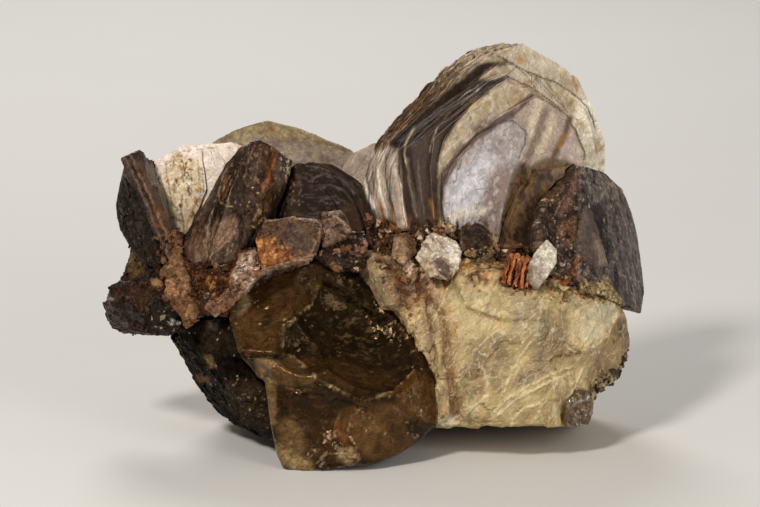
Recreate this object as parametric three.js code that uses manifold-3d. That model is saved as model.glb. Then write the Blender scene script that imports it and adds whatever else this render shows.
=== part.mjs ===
// A cabinet specimen of lepidolite: stepped, pseudo-hexagonal books of violet-grey mica
// grown on cream feldspar and smoky quartz. It is a natural cluster, so nothing moves.
//
// Millimetres. Every crystal is placed in the display frame, which is how the specimen
// is seen square-on: x to the right, y away from the viewer, z up. The whole specimen is
// then tipped back by REST_TILT, which is how it rests, and cut flat where it stands.

import * as THREE from 'three';
import { ConvexGeometry } from 'three/addons/geometries/ConvexGeometry.js';
import { mergeVertices } from 'three/addons/utils/BufferGeometryUtils.js';
import Module from 'manifold-3d';

const wasm = await Module();
wasm.setup();

// Driving dimensions
const REST_TILT = 12; // degrees that the display face leans back from upright
const STAND_HEIGHT = 6.3; // height of the cut underside above the display frame's origin
const CENTRE_X = 0.3; // middle of the specimen, so that the origin is below it
const CENTRE_Y = 4.1;
const CONTACT_GAP = 0.35; // clearance kept between crystals that touch
const LONGEST_MITRE = 3; // most that a sharp corner is moved to keep that clearance
const GAP_PASSES = 60; // rounds of pushing a corner out
const WELD = 1e-4; // distance at which two vertices are one

const DEG = Math.PI / 180;

// Solids

// The shape without its normals and texture coordinates, each corner held only once.
function welded(geometry) {
  const bare = geometry.clone();
  bare.deleteAttribute('normal');
  bare.deleteAttribute('uv');
  return mergeVertices(bare, WELD);
}

function solidOf(geometry) {
  const { attributes, index } = welded(geometry);
  return new wasm.Manifold(
    new wasm.Mesh({
      numProp: 3,
      vertProperties: new Float32Array(attributes.position.array),
      triVerts: new Uint32Array(index.array),
    }),
  );
}

function geometryOf(solid) {
  const mesh = solid.getMesh();
  const geometry = new THREE.BufferGeometry();
  geometry.setAttribute('position', new THREE.BufferAttribute(new Float32Array(mesh.vertProperties), 3));
  geometry.setIndex(new THREE.BufferAttribute(new Uint32Array(mesh.triVerts), 1));
  geometry.computeVertexNormals();
  return geometry;
}

function joined(geometries) {
  return geometries.map(solidOf).reduce((whole, next) => whole.add(next));
}

// The biggest piece that is left when a cut leaves crumbs.
function mainPiece(solid) {
  return solid.decompose().reduce((best, next) => (next.volume() > best.volume() ? next : best));
}

// A faceted lump: the smallest convex shape round its corners.
function lump(corners) {
  return new ConvexGeometry(corners.map((corner) => new THREE.Vector3(...corner)));
}

// An ellipsoid, which leaves a shell-like hollow when it is cut away. Its middle radius
// lies along the way it faces, and roll turns its long side about that way.
function scoop({ centre, radii, facing = [0, -1, 0], roll = 0 }) {
  const geometry = new THREE.SphereGeometry(1, 28, 18);
  const front = new THREE.Vector3(0, -1, 0);
  const turn = new THREE.Quaternion().setFromUnitVectors(front, new THREE.Vector3(...facing).normalize());
  geometry.scale(...radii);
  geometry.rotateY(roll * DEG);
  geometry.applyQuaternion(turn);
  geometry.translate(...centre);
  return geometry;
}

// A mica book: flat sheets, each with its own outline, stacked along the book's normal.
// turn swings the face to the right and lean tips it up; sheets are [from, to, outline].
function book({ origin, turn, lean, sheets }) {
  const normal = new THREE.Vector3(
    Math.sin(turn * DEG) * Math.cos(lean * DEG),
    -Math.cos(turn * DEG) * Math.cos(lean * DEG),
    Math.sin(lean * DEG),
  );
  const across = new THREE.Vector3(Math.cos(turn * DEG), Math.sin(turn * DEG), 0);
  const up = new THREE.Vector3().crossVectors(normal, across);
  const place = new THREE.Matrix4().makeBasis(across, up, normal).setPosition(...origin);
  return sheets.map(([from, to, outline]) => {
    const shape = new THREE.Shape(outline.map(([x, y]) => new THREE.Vector2(x, y)));
    const sheet = new THREE.ExtrudeGeometry(shape, { depth: to - from, bevelEnabled: false });
    sheet.translate(0, 0, from);
    sheet.applyMatrix4(place);
    return sheet;
  });
}

// The same shape with every face moved out by the gap, to cut a neighbour clear of it.
// Each corner is pushed out along its faces in turn until all of them have moved.
function withGap(geometry) {
  const grown = welded(geometry);
  const position = grown.attributes.position;
  const corners = Array.from({ length: position.count }, (_, i) => ({
    point: new THREE.Vector3().fromBufferAttribute(position, i),
    faces: [],
  }));
  for (let i = 0; i < grown.index.count; i += 3) {
    const three = [0, 1, 2].map((k) => corners[grown.index.getX(i + k)]);
    const face = new THREE.Triangle(...three.map((corner) => corner.point));
    const facing = face.getNormal(new THREE.Vector3());
    three.forEach((corner) => corner.faces.push(facing));
  }
  corners.forEach(({ point, faces }, i) => {
    const move = new THREE.Vector3();
    for (let pass = 0; pass < GAP_PASSES; pass++) {
      faces.forEach((face) => move.addScaledVector(face, Math.max(0, CONTACT_GAP - face.dot(move))));
    }
    move.clampLength(0, LONGEST_MITRE);
    position.setXYZ(i, ...point.clone().add(move).toArray());
  });
  return grown;
}

// Mica books on the right

function tallBook() {
  return book({
    origin: [19.8, 5, 52],
    turn: 38,
    lean: -5,
    sheets: [
      [-2.6, -1.3, [[-15, -12], [-19.5, 0], [-19, 8], [-13, 17], [-4, 24], [3, 27], [12, 25.5], [14, 21],
        [9, 16], [7, 8], [8, -2], [4, -14]]],
      [-1.4, 0.1, [[-19, -12], [-24.4, 0], [-24.8, 6], [-22, 13], [-15, 20], [-8, 25.4], [-1, 29],
        [6, 30.6],
        [14, 28], [19.6, 23.6], [23, 18], [25.6, 12], [26.4, 4], [24, -13], [5, -17], [-12, -15]]],
      [0, 3, [[-22, -12], [-27, -2], [-28, 5], [-25.5, 13.5], [-17.5, 21.5], [-10.5, 28], [-2.5, 32.6],
        [5.5, 34], [15, 31], [21, 27], [25, 21.5], [28, 16.5], [29.2, 12], [29.5, 6], [28.5, -4],
        [24, -13], [5, -17], [-14, -15]]],
      [2.9, 6, [[-22, -10], [-27.4, 1], [-27.2, 9], [-25, 14], [-17, 21], [-10, 27], [-2.5, 31.6],
        [6.5, 34.1], [16, 30.2], [21.2, 27.3], [25.6, 21.4], [28, 17.3], [29.4, 14.1], [29.8, 7.6],
        [29.2, -3.4], [24, -12], [5, -16], [-14, -14]]],
      [5.9, 9, [[-23, -8], [-27.3, 3], [-27.3, 9], [-24.8, 14], [-20.5, 17.5], [-16, 20.8], [-9.5, 24.5],
        [-4.5, 27.5], [-1, 30], [3, 30], [7.5, 27.5], [11.5, 27], [19.5, 24], [23, 17.5], [25, 11],
        [25, -2], [20, -12], [4, -15], [-14, -13]]],
      [8.9, 11.5, [[-22.5, -8], [-25.2, 3.6], [-26.5, 12.6], [-21.5, 17], [-16.4, 20.6], [-11, 23.6],
        [-6, 26.8], [-1.5, 28.4], [3, 26.5], [12, 22.5], [17, 18], [19.5, 13], [19.5, -4], [12, -12],
        [-13, -12]]],
      [11.4, 13.5, [[-21.8, -7], [-24.9, 7.2], [-26.2, 13.3], [-21, 16.9], [-17, 19.3], [-12, 22.6],
        [-7.5, 25.5], [-2.3, 27.6], [2, 26], [11.3, 21], [14.4, 17.5], [17.3, 13], [17.5, 0], [8, -11],
        [-13, -11]]],
      [13.4, 14.5, [[-19.6, -7], [-22.1, 8.9], [-21.5, 15.3], [-17.2, 18.5], [-12.4, 21.9], [-8, 25],
        [-3.1, 27.6], [1.6, 26], [11.2, 20.9], [14.1, 17.4], [17, 12.8], [17, 1], [8, -10], [-12, -10]]],
      [14.4, 15.1, [[-18.6, -6], [-20.1, 5.1], [-20.3, 11.4], [-19.3, 15.2], [-16.7, 18.4], [-12.4, 22],
        [-9.1, 24.8], [-4.6, 26.7], [1, 25.4], [10.6, 20.5], [13.6, 17], [16.5, 12.5], [16.5, 2],
        [7, -10], [-12, -10]]],
      [15, 15.9, [[-18.6, -5], [-19.8, 8.1], [-18.5, 11], [-12.4, 17.1], [-6.7, 20], [2.4, 24.3],
        [10.3, 20.7], [13.2, 16.8], [16, 12], [16, 2], [6, -9], [-12, -9]]],
      [15.8, 16.7, [[-19, -3], [-20.7, 2.3], [-20.5, 6.2], [-19, 9.6], [-16, 13.2], [-12.4, 16.4],
        [-8, 18.4], [-4.7, 19.1], [-0.2, 16.9], [-0.3, 11.9], [-3, 9.3], [-4.6, 3.8], [-6, -5],
        [-12, -8]]],
      [15.8, 18, [[-4.4, -1], [-1.5, 5], [1.8, 9], [9.5, 10.5], [8.2, 2], [4, -2.5], [4, -7], [-6, -8]]],
    ],
  });
}

// The dark book beside it, which shows its sheet edges on the left of a sharp ridge and
// a rounded, nearly flat face on the right.
function rightBook() {
  const flank = lump([
    [40.1, 0, 60.8], [42.5, -1, 60.6], [42.1, -8, 51], [41.5, -14, 38], [43.2, -15, 35.5], [35.1, -8, 55],
    [33, -13, 49], [32.5, -16, 44], [33.2, -17, 40], [36, 6, 56], [34, 4, 40], [43, 6, 36],
  ]);
  const face = lump([
    [42.5, -0.5, 60.6], [46.5, 5, 59.4], [50.2, 8, 56.2], [52.2, 9.5, 51.5], [53.3, 9.5, 47],
    [54.2, 8, 40],
    [54.5, 6, 35.4], [53.8, 2, 31.6], [49, -8, 33.7], [44, -13.5, 35.9], [42.1, -7, 51], [45, 13, 56],
    [50, 16, 48], [51, 14, 34], [42, 12, 34],
  ]);
  const blade = lump([
    [42.4, -8.4, 50.8], [43, -6, 51], [40.6, -14.6, 41], [40.8, -16.2, 36.2], [44.2, -14.6, 35.4],
    [46.8, -11.4, 36.4], [45.2, -9.6, 43], [42, -6, 36],
  ]);
  return [flank, face, blade];
}

// Mica books on the left

// Three blades that fan out from one root.
function fanBook() {
  const leftBlade = lump([
    [-36.9, -14, 42], [-32.8, -17, 40], [-26.2, -5.5, 64.4], [-23.4, -4.5, 65.9], [-29.3, -7, 61.5],
    [-31.2, -8, 58], [-32.6, -9, 54.6], [-33.9, -9.5, 51.4], [-37.2, -10, 46.6], [-31, -13.8, 53],
    [-30, -1, 58], [-24, 1, 63], [-34, -3, 44],
  ]);
  const middleBlade = lump([
    [-33.2, -18, 40.4], [-26.9, -18, 41.2], [-24.4, -7.4, 65.6], [-22.6, -7, 66.1], [-20.2, -6, 65.4],
    [-19.7, -11, 57.9], [-24.9, -17, 46], [-28.4, -14.6, 55], [-22, 2, 63], [-28, -4, 42],
  ]);
  const rightBlade = lump([
    [-27.5, -16, 41.6], [-23, -15.4, 46.6], [-20.8, -5, 65.3], [-17.5, -4, 63.2], [-15.4, -2.5, 62.2],
    [-15.8, -4, 59], [-18.8, -8.4, 55.9], [-17, 3, 60], [-22, -3, 44],
  ]);
  return [leftBlade, middleBlade, rightBlade];
}

// The book at the left end: a smooth violet blade against a rough dark side.
function edgeBook() {
  const blade = lump([
    [-49.7, -7, 62.2], [-46.1, -5, 63.7], [-43.8, -5, 59.6], [-42.6, -7, 54], [-40.9, -10, 47.6],
    [-38.6, -12.6, 41.4], [-40.2, -13.4, 41.2], [-42.4, -12.8, 47.6], [-44.6, -11.6, 51.4],
    [-46.4, -10, 55.2],
    [-47, 4, 61.6], [-43.4, 4, 62.2], [-41.6, 4, 52], [-38.6, -2, 42],
  ]);
  const roughSide = lump([
    [-48.9, -7.6, 60.6], [-50, -4, 57.2], [-50.8, -2, 53.2], [-50.7, -2, 51], [-50, -4, 48.2],
    [-48.6, -5, 46.2],
    [-47.4, -6, 43.8], [-45.2, -8, 41.2], [-41.4, -12, 39.8], [-42.6, -12.4, 46.8], [-45, -11, 51],
    [-46.8, -9.4, 55], [-46, 6, 59], [-47.4, 8, 52], [-44, 7, 43], [-39, 2, 41], [-41, 6, 55],
  ]);
  return [blade, roughSide];
}

function paleBook() {
  return book({
    origin: [-34.4, 3, 54],
    turn: -18,
    lean: 4,
    sheets: [
      [-4, 0, [[-9, 1], [-9.8, 7.8], [-4, 11.2], [6.5, 11.7], [11, 9.5], [12, 2], [6, -8], [-2, -12],
        [-8, -8]]],
      [-0.1, 1.4, [[-8.9, 1.5], [-9.8, 7.7], [-3.7, 11], [5.9, 11.4], [8.4, 10.6], [9, 3], [4, -6],
        [-3, -9], [-5.8, -7], [-8.2, -3.2]]],
      [1.3, 2.4, [[-8.4, 0], [-7.2, 6.4], [-2.6, 9.7], [1, 10], [2.2, 2], [-1, -6], [-3.8, -8.4],
        [-7, -3]]],
    ],
  });
}

function roundBook() {
  return book({
    origin: [-12.3, -2, 51],
    turn: -15,
    lean: 8,
    sheets: [
      [-9, -4, [[-9, -6], [-8, 4], [-5, 9.5], [-2, 11.5], [3, 11], [8, 8], [11.5, 4], [13.6, -1],
        [14.4, -6],
        [12, -11], [-6, -11]]],
      [-4.1, -1, [[-8, -6], [-7.2, 5], [-5.4, 9.6], [-3.2, 11], [1, 10.3], [6, 7.9], [9.2, 5],
        [11.4, 1.8],
        [12.8, -1.8], [13.4, -6], [11, -10], [-5, -10]]],
      [-1.1, 1, [[-7.4, -4], [-6.8, 4.6], [-5, 9], [-3.4, 10.2], [0.6, 9.4], [5.4, 7], [8.2, 4.4],
        [10.2, 1],
        [11.4, -2.6], [11.6, -6], [9, -9], [-4, -9]]],
      [0.9, 2.6, [[-6.6, -3], [-6, 3], [-4, 6.6], [-0.6, 6.8], [3.4, 5], [5.8, 2.4], [7.2, -1.6],
        [6.6, -6],
        [3, -8], [-4, -7]]],
    ],
  });
}

function rearBook() {
  return book({
    origin: [-16.5, 14, 56],
    turn: 8,
    lean: 22,
    sheets: [
      [-3, 0, [[-17.6, 4], [-15.6, 10.6], [-11, 13.5], [-4, 15.7], [2, 14.2], [7.4, 12], [13.4, 9],
        [16, 2],
        [13, -7], [-14, -8]]],
      [-0.1, 1.2, [[-16.8, 3], [-14.6, 9.6], [-10.4, 12.2], [-3.6, 14.2], [1.8, 12.8], [7, 10.6],
        [12.6, 7.6],
        [14.6, 1], [11, -7], [-13, -8]]],
    ],
  });
}

function saddleBook() {
  return book({
    origin: [-2.3, 9, 56],
    turn: -14,
    lean: 8,
    sheets: [
      [-2.6, 0, [[-5, -4], [-4, 4.6], [-2, 7.6], [2.6, 9.8], [6.5, 9], [7, -6], [-3, -9]]],
      [-0.1, 1.3, [[-4.2, -4], [-3.2, 4], [-1.4, 6.8], [2.6, 8.9], [6, 8], [6.4, -6], [-3, -8]]],
    ],
  });
}

// Small crystals where the books meet the matrix

function centreSlab() {
  const crystal = lump([
    [-21, -18, 49.6], [-15, -18.6, 50.3], [-10.1, -17, 49.9], [-9.8, -20, 47.4], [-10.4, -21, 45],
    [-11.4, -21.6, 42.8], [-16, -22, 41.8], [-21.5, -21.5, 40.6], [-22.8, -19.4, 46], [-20, -6, 49],
    [-10, -6, 48], [-13, -8, 40], [-20, -8, 40],
  ]);
  return [crystal];
}

function toothCrystal() {
  const crystal = lump([
    [-9.6, -14.6, 51.2], [-6, -13.6, 51.7], [-4.2, -16.4, 47.9], [-5, -18.4, 46.6], [-7.2, -18.8, 47.2],
    [-9.6, -19.4, 44.6], [-9.4, -7, 50], [-4.6, -8, 48], [-8.6, -9, 44.8],
  ]);
  return [crystal];
}

function darkCrystal() {
  const crystal = lump([
    [-6.9, -16, 46.8], [-10.6, -19, 42.8], [-6.4, -19.6, 40.6], [-2.6, -19, 41.6], [-0.7, -15, 45.2],
    [-1.4, -12.6, 47.6], [-4, -13.6, 47.6], [-8, -7, 46], [-2, -6, 46], [-8, -8, 41], [-2, -9, 41],
  ]);
  return [crystal];
}

function silverBook() {
  const plate = lump([
    [11, -19.6, 46.6], [12.5, -19, 47.2], [14.6, -19.4, 46], [16.5, -20, 45.6], [17.7, -21, 44.1],
    [17, -23.6, 40.8], [15.6, -24, 38.6], [13.4, -24.4, 38.9], [11.4, -24, 39], [10, -23, 41],
    [8.9, -22, 42.6], [10, -21, 44.8], [12, -14, 45], [16, -15, 44], [15, -17, 38], [10, -16, 42],
  ]);
  const bar = lump([
    [12.2, -24.4, 42], [13.3, -23.9, 43], [16, -24.2, 39.6], [15.2, -24.8, 38.6], [13.4, -20, 42.6],
    [15.4, -20, 39],
  ]);
  return [plate, bar];
}

function darkKnob() {
  const crystal = lump([
    [17.2, -19.6, 46.9], [18.7, -19, 48.7], [21.4, -19, 49.1], [23.1, -19.8, 47.5], [23.5, -21.6, 44.4],
    [21.4, -22.8, 42.6], [18.8, -22.8, 43.2], [17.9, -22, 44.6], [20.4, -23.4, 46], [18, -14, 46],
    [23, -14, 46], [20, -15, 42],
  ]);
  return [crystal];
}

function whiteFlake() {
  const crystal = lump([
    [34.6, -19, 45.7], [36.1, -19.4, 44], [36.1, -20.8, 41.8], [34.4, -22.6, 39], [32.3, -23.6, 36.6],
    [30.9, -23.6, 38.2], [31.4, -22, 41.2], [32.3, -20.4, 43], [34, -15, 43], [35, -16, 40],
    [32, -17, 37],
  ]);
  return [crystal];
}

// A small book seen edge-on, its sheets parted and stained with rust.
function rustBook() {
  const sheets = [];
  for (let i = 0; i < 5; i++) {
    const shift = 1.15 * i;
    sheets.push(lump([
      [25.6 + shift, -23.4, 37.9 - 0.35 * i], [26.2 + shift, -23.8, 37.5 - 0.35 * i],
      [27.2 + shift, -21.4, 43 - 0.25 * i], [26.6 + shift, -21.2, 42.6 - 0.25 * i],
      [25.8 + shift, -16, 37], [26.6 + shift, -16, 37], [27.2 + shift, -15, 42], [26.4 + shift, -15, 42],
    ]));
  }
  const heel = lump([
    [25.6, -20.6, 37.6], [31, -20.6, 36.6], [31.4, -19, 41.6], [26.8, -19, 42.4], [26, -14, 38],
    [31, -14, 37], [31, -14, 41], [27, -14, 42],
  ]);
  return [heel, ...sheets];
}

function lilacLump() {
  const crystal = lump([
    [4.6, -17.6, 46.8], [6.6, -17.8, 47.4], [8.6, -19, 46], [8.6, -21, 43.2], [6.4, -21, 41],
    [4.2, -19, 42.8], [6.4, -21.4, 44.6], [5, -13, 46], [8, -14, 45], [5, -14, 42],
  ]);
  return [crystal];
}

function pinkCrust() {
  const lower = lump([
    [-32.6, -25, 32.8], [-29, -26.4, 34.6], [-26.9, -26.6, 35.8], [-24.6, -26, 37.8], [-25.4, -27, 34.6],
    [-28.4, -26.6, 32.4], [-30.6, -25.6, 31], [-30, -18, 35], [-25, -18, 37],
  ]);
  const upper = lump([
    [-25.6, -26.4, 37.2], [-23, -25, 39.4], [-19.6, -24, 40.6], [-16.2, -23.4, 41.7],
    [-11.6, -21.4, 42.5],
    [-12, -22, 41.4], [-16, -24.4, 40], [-21.4, -25.8, 38.2], [-25.6, -27, 34.9], [-16, -16, 40],
    [-23, -17, 38],
  ]);
  return [lower, upper];
}

// Matrix

function brownMica() {
  const heap = lump([
    [-38, -11, 44], [-35.9, -15, 41.8], [-29.8, -19, 40.6], [-24, -18, 42.6], [-21.8, -19, 41.4],
    [-22.4, -21.4, 38.8], [-26.6, -23.6, 35.6], [-28.8, -23.6, 31], [-32.2, -22.6, 31.4],
    [-34.6, -20.6, 34.2], [-36.8, -17.6, 38.2], [-30, -22, 37.4], [-35, -2, 42], [-24, -2, 42],
    [-34, -4, 32], [-26, -6, 33],
  ]);
  const tongue = lump([
    [-40.7, -18, 39.6], [-37.8, -16, 43.2], [-35.8, -17.6, 40.6], [-35.8, -20, 37.1], [-34.1, -22, 32.4],
    [-36.4, -22, 28.6], [-38.1, -21.8, 32.6], [-38.5, -20.8, 34.9], [-40.3, -19.6, 35.4],
    [-38, -12, 40], [-36, -14, 31],
  ]);
  const cleft = lump([
    [-43.2, -7, 49.8], [-41, -8, 49], [-38.5, -9.5, 46.5], [-36.4, -10, 46.8], [-36.2, -12, 43.5],
    [-38.4, -14, 42], [-40.6, -13, 41.5], [-42, -9, 45], [-42, 0, 46], [-38, 1, 45], [-38, 0, 41],
  ]);
  return [heap, tongue, cleft];
}

function leftKnob() {
  const top = lump([
    [-48.3, 0, 44.4], [-46.4, -3, 43.4], [-49.1, -4, 39.6], [-45.2, -9, 40.2], [-47, -9, 36],
    [-41, -11, 39],
    [-44, 6, 43], [-46, 7, 36], [-40, 4, 36],
  ]);
  const end = lump([
    [-49.3, -5, 39.2], [-52.6, -4, 36.2], [-53.9, 0, 33.2], [-53.2, 2, 29.8], [-51.6, -1, 28],
    [-49.1, 0, 27.2],
    [-48.4, -11.6, 34.1], [-51.6, -8, 32.6], [-45.4, -13, 31.4], [-48.6, 8, 35], [-46, 8, 29],
    [-42, -8, 27.2], [-42.4, -12.6, 35.4],
  ]);
  const foot = lump([
    [-45.8, -11, 27.4], [-41.8, -9, 26.8], [-37.4, -13, 27.6], [-38.6, -15, 31.4], [-38.8, -14, 36.4],
    [-43.4, -14.4, 32.8], [-42, 4, 30], [-37, 4, 30], [-38, 3, 36],
  ]);
  const middle = lump([
    [-46, -10, 38.5], [-43, -11.5, 40.8], [-40.2, -12.5, 41.4], [-39.4, -14, 37], [-39.8, -14, 33.2],
    [-44, -13, 32.6], [-47, -11, 35], [-44, 2, 41], [-40, 2, 40.6], [-40, 2, 34], [-46, 2, 34],
  ]);
  return [top, end, foot, middle];
}

// The smoky quartz is broken along shell-like fractures, which are scooped out of its face.
function smokyQuartz() {
  const body = lump([
    [-28.2, -22, 30.6], [-27, -19.2, 35.4], [-22.9, -17.8, 38.6], [-19.1, -17, 40.8],
    [-11.5, -17.6, 41.8],
    [-7.5, -17.4, 40.4], [-3.1, -17, 37.8], [2.1, -17.8, 33.2], [7.3, -19.2, 28.4], [12.4, -21, 18.8],
    [12.8, -21, 9.4], [-26.8, -25, 26.2], [-26, -26.6, 23.8], [-21.2, -27.4, 18.4], [-19.3, -28.4, 22.8],
    [-18.3, -29, 20], [-10.5, -31.4, 18], [-5.3, -31.6, 15], [-1.7, -31, 13.6], [4.7, -28.2, 15.8],
    [8.7, -24.8, 19.4], [9.2, -24, 9.8], [-20, -6, 34], [-4, -4, 38], [8, -8, 24], [10, -10, 10],
    [-22, -8, 18],
  ]);
  const foot = lump([
    [-21, -26.6, 18.5], [-19.4, -26.8, 9.6], [-18.5, -25.6, 4.2], [-17.5, -26, 1.2], [-14.7, -26.8, 0.4],
    [-8.9, -27.4, 0.9], [-5.7, -28, 1.6], [-2.9, -28.8, 2.6], [1.1, -26.8, 2.2], [5.3, -24.6, 3.9],
    [8.7, -23.8, 6.2], [12.8, -20.8, 9.4], [-13.2, -30, 15.6], [-7.9, -31.2, 12.6], [4.3, -28, 13.2],
    [-3.1, -29.6, 5.4], [-16, -8, 4], [6, -8, 7], [-18, -10, 12], [10, -10, 12],
  ]);
  return [body, foot];
}

function quartzHollows() {
  return [
    scoop({ centre: [-1.2, -29.6, 34], radii: [20.4, 15, 15], facing: [0.28, -0.84, 0.46], roll: 55 }),
    scoop({ centre: [-12.6, -31.6, 27.6], radii: [8, 9.2, 8], facing: [-0.1, -0.9, 0.35] }),
    scoop({ centre: [-10.8, -40.9, 8.6], radii: [17, 13.6, 10.5], facing: [-0.05, -1, -0.24], roll: 10 }),
    scoop({ centre: [-25.4, -34, 17.8], radii: [6.4, 9.4, 4.4], facing: [-0.4, -1, -0.3], roll: 20 }),
  ];
}

function darkFlank() {
  const crystal = lump([
    [-40.4, -8, 27.6], [-37, -5, 22.9], [-36, -4, 19.2], [-34, -3, 15.6], [-31, -1.5, 11.7],
    [-27, -1.5, 8.9],
    [-23, -8, 7.6], [-19.7, -14, 6.2], [-18.2, -18, 6.2], [-18.6, -21, 15.3], [-20.7, -22, 16.7],
    [-22.9, -21.6, 23.9], [-25.6, -21.6, 24.1], [-28.6, -20.6, 30.4], [-32.2, -18.6, 31.2],
    [-35.8, -17, 28.8], [-39, -13.6, 28.2], [-27.2, -20.8, 18.2], [-23.9, -18.8, 11.5],
    [-32.6, -16.8, 23.6], [-36.6, 6, 26], [-29, 8, 13], [-22, 8, 10], [-20, -4, 30],
  ]);
  return [crystal];
}

function clearNub() {
  const crystal = lump([
    [37.8, -19, 11.5], [38.6, -19.4, 14.4], [40.1, -18.6, 16], [43.4, -16, 15.9], [43.8, -15, 11.6],
    [42.8, -16, 9.4], [38.2, -19, 9.3], [40, -12, 15], [43, -11, 13], [39, -12, 10],
  ]);
  return [crystal];
}

function feldspar() {
  const upper = lump([
    [-0.7, -13, 41.6], [4.7, -19, 34.1], [9, -20.4, 27], [12.5, -20.8, 20], [25.2, -24, 26.3],
    [34.1, -24, 28.3],
    [42.1, -18, 28.2], [45.1, -12.6, 15.8], [47.9, -8.6, 17.6], [50.1, -5, 20], [51.3, -1, 22.5],
    [51.8, 2, 25], [50.7, -4, 31.6], [45.3, -11.6, 36.4], [37.2, -17.4, 37.7], [25.3, -19.8, 39.1],
    [15.5, -20, 39.8], [7.6, -16, 43.4], [2, 24, 45], [14, 27, 46], [38.5, 27, 43], [48.5, 22, 35.9],
    [51.2, 15, 27.8], [48, 13, 20], [30, -22, 15], [16, -21.6, 15], [43.6, 20, 16], [6, 26, 14],
  ]);
  const lower = lump([
    [13.4, -19, 9.1], [24.1, -21.6, 9.4], [37, -19.8, 9.2], [42.2, -16, 9.3], [43.6, -14, 12],
    [44.6, -13, 15.6], [34, -24.2, 22], [22, -24, 21], [12.6, -20.8, 20], [43.4, 20, 9.2], [44, 20, 17],
    [26, 27.6, 9.2], [5, 27, 9.2], [4, 0, 9.2], [8, 26, 24], [40, 24, 24],
  ]);
  const cleavedSlab = lump([
    [44.2, -16.8, 34.4], [49.2, -9.8, 31.2], [46.4, -16, 25.2], [42.2, -19.4, 22.8], [38.6, -21, 25.6],
    [40.2, -19.8, 32.4], [42, -8, 33], [45, -6, 26],
  ]);
  const footLedge = lump([
    [17, -22.8, 11.4], [26, -22.8, 9.4], [35, -21.2, 9.2], [37.4, -20.2, 12.6], [39, -20, 18.4],
    [33, -25, 20.6], [24, -25.2, 18.4], [18, -23.6, 17], [22, -10, 10], [36, -10, 10], [34, -12, 20],
  ]);
  const leftRib = lump([
    [0.2, -14.8, 42.6], [4.4, -20.4, 35], [8.6, -21.6, 28], [11.8, -21.8, 21], [12.6, -20.4, 10],
    [15.8, -21.8, 12], [14.6, -22.6, 24], [9.6, -21.8, 34], [6.6, -18.4, 43], [4, -8, 42], [12, -12, 12],
  ]);
  const brow = lump([
    [16, -21, 38.4], [24, -21.6, 38.6], [33, -20.8, 37.2], [38, -19.4, 35.6], [34, -24.6, 30.4],
    [25, -25, 30.6], [18, -23.4, 33], [20, -14, 39], [35, -14, 36], [28, -16, 28],
  ]);
  const rear = lump([
    [-36.4, 2, 34], [-37.2, 8, 28], [-32.4, 12, 16.7], [-26.8, 17, 9.6], [-23, 24, 9.2], [8, 26, 9.2],
    [8, 25, 40], [-2, 27, 24], [-14.6, 24, 49.1], [-30.9, 21, 47.1], [-37.7, 13, 42], [-34.5, 5, 45],
    [-4.3, -4, 47], [4, -4, 12], [-16, 2, 8],
  ]);
  return [upper, lower, cleavedSlab, footLedge, leftRib, brow, rear];
}

// The broken back and right side of the matrix.
function matrixHollows() {
  return [
    scoop({ centre: [26, 63, 30], radii: [44, 39, 34], facing: [0.1, 1, 0.1], roll: 20 }),
    scoop({ centre: [-20, 60, 30], radii: [30, 38, 34], facing: [-0.3, 1, 0], roll: 50 }),
    scoop({ centre: [61, 10, 22], radii: [13, 11, 9], facing: [1, 0.1, -0.2], roll: 30 }),
  ];
}

// Finishes

const finishes = {
  mica: { color: 0x8d8078, roughness: 0.35, metalness: 0.05 },
  darkMica: { color: 0x453a3c, roughness: 0.3, metalness: 0.05 },
  brownMica: { color: 0x6e4c3c, roughness: 0.4, metalness: 0.05 },
  paleMica: { color: 0xd9cbb8, roughness: 0.4, metalness: 0.05 },
  pinkMica: { color: 0xa07868, roughness: 0.45, metalness: 0 },
  rust: { color: 0x8c4a2a, roughness: 0.6, metalness: 0 },
  quartz: { color: 0x3a2a18, roughness: 0.12, metalness: 0 },
  clearQuartz: { color: 0x8c8372, roughness: 0.12, metalness: 0 },
  feldspar: { color: 0xb9a67c, roughness: 0.55, metalness: 0 },
};

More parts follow.
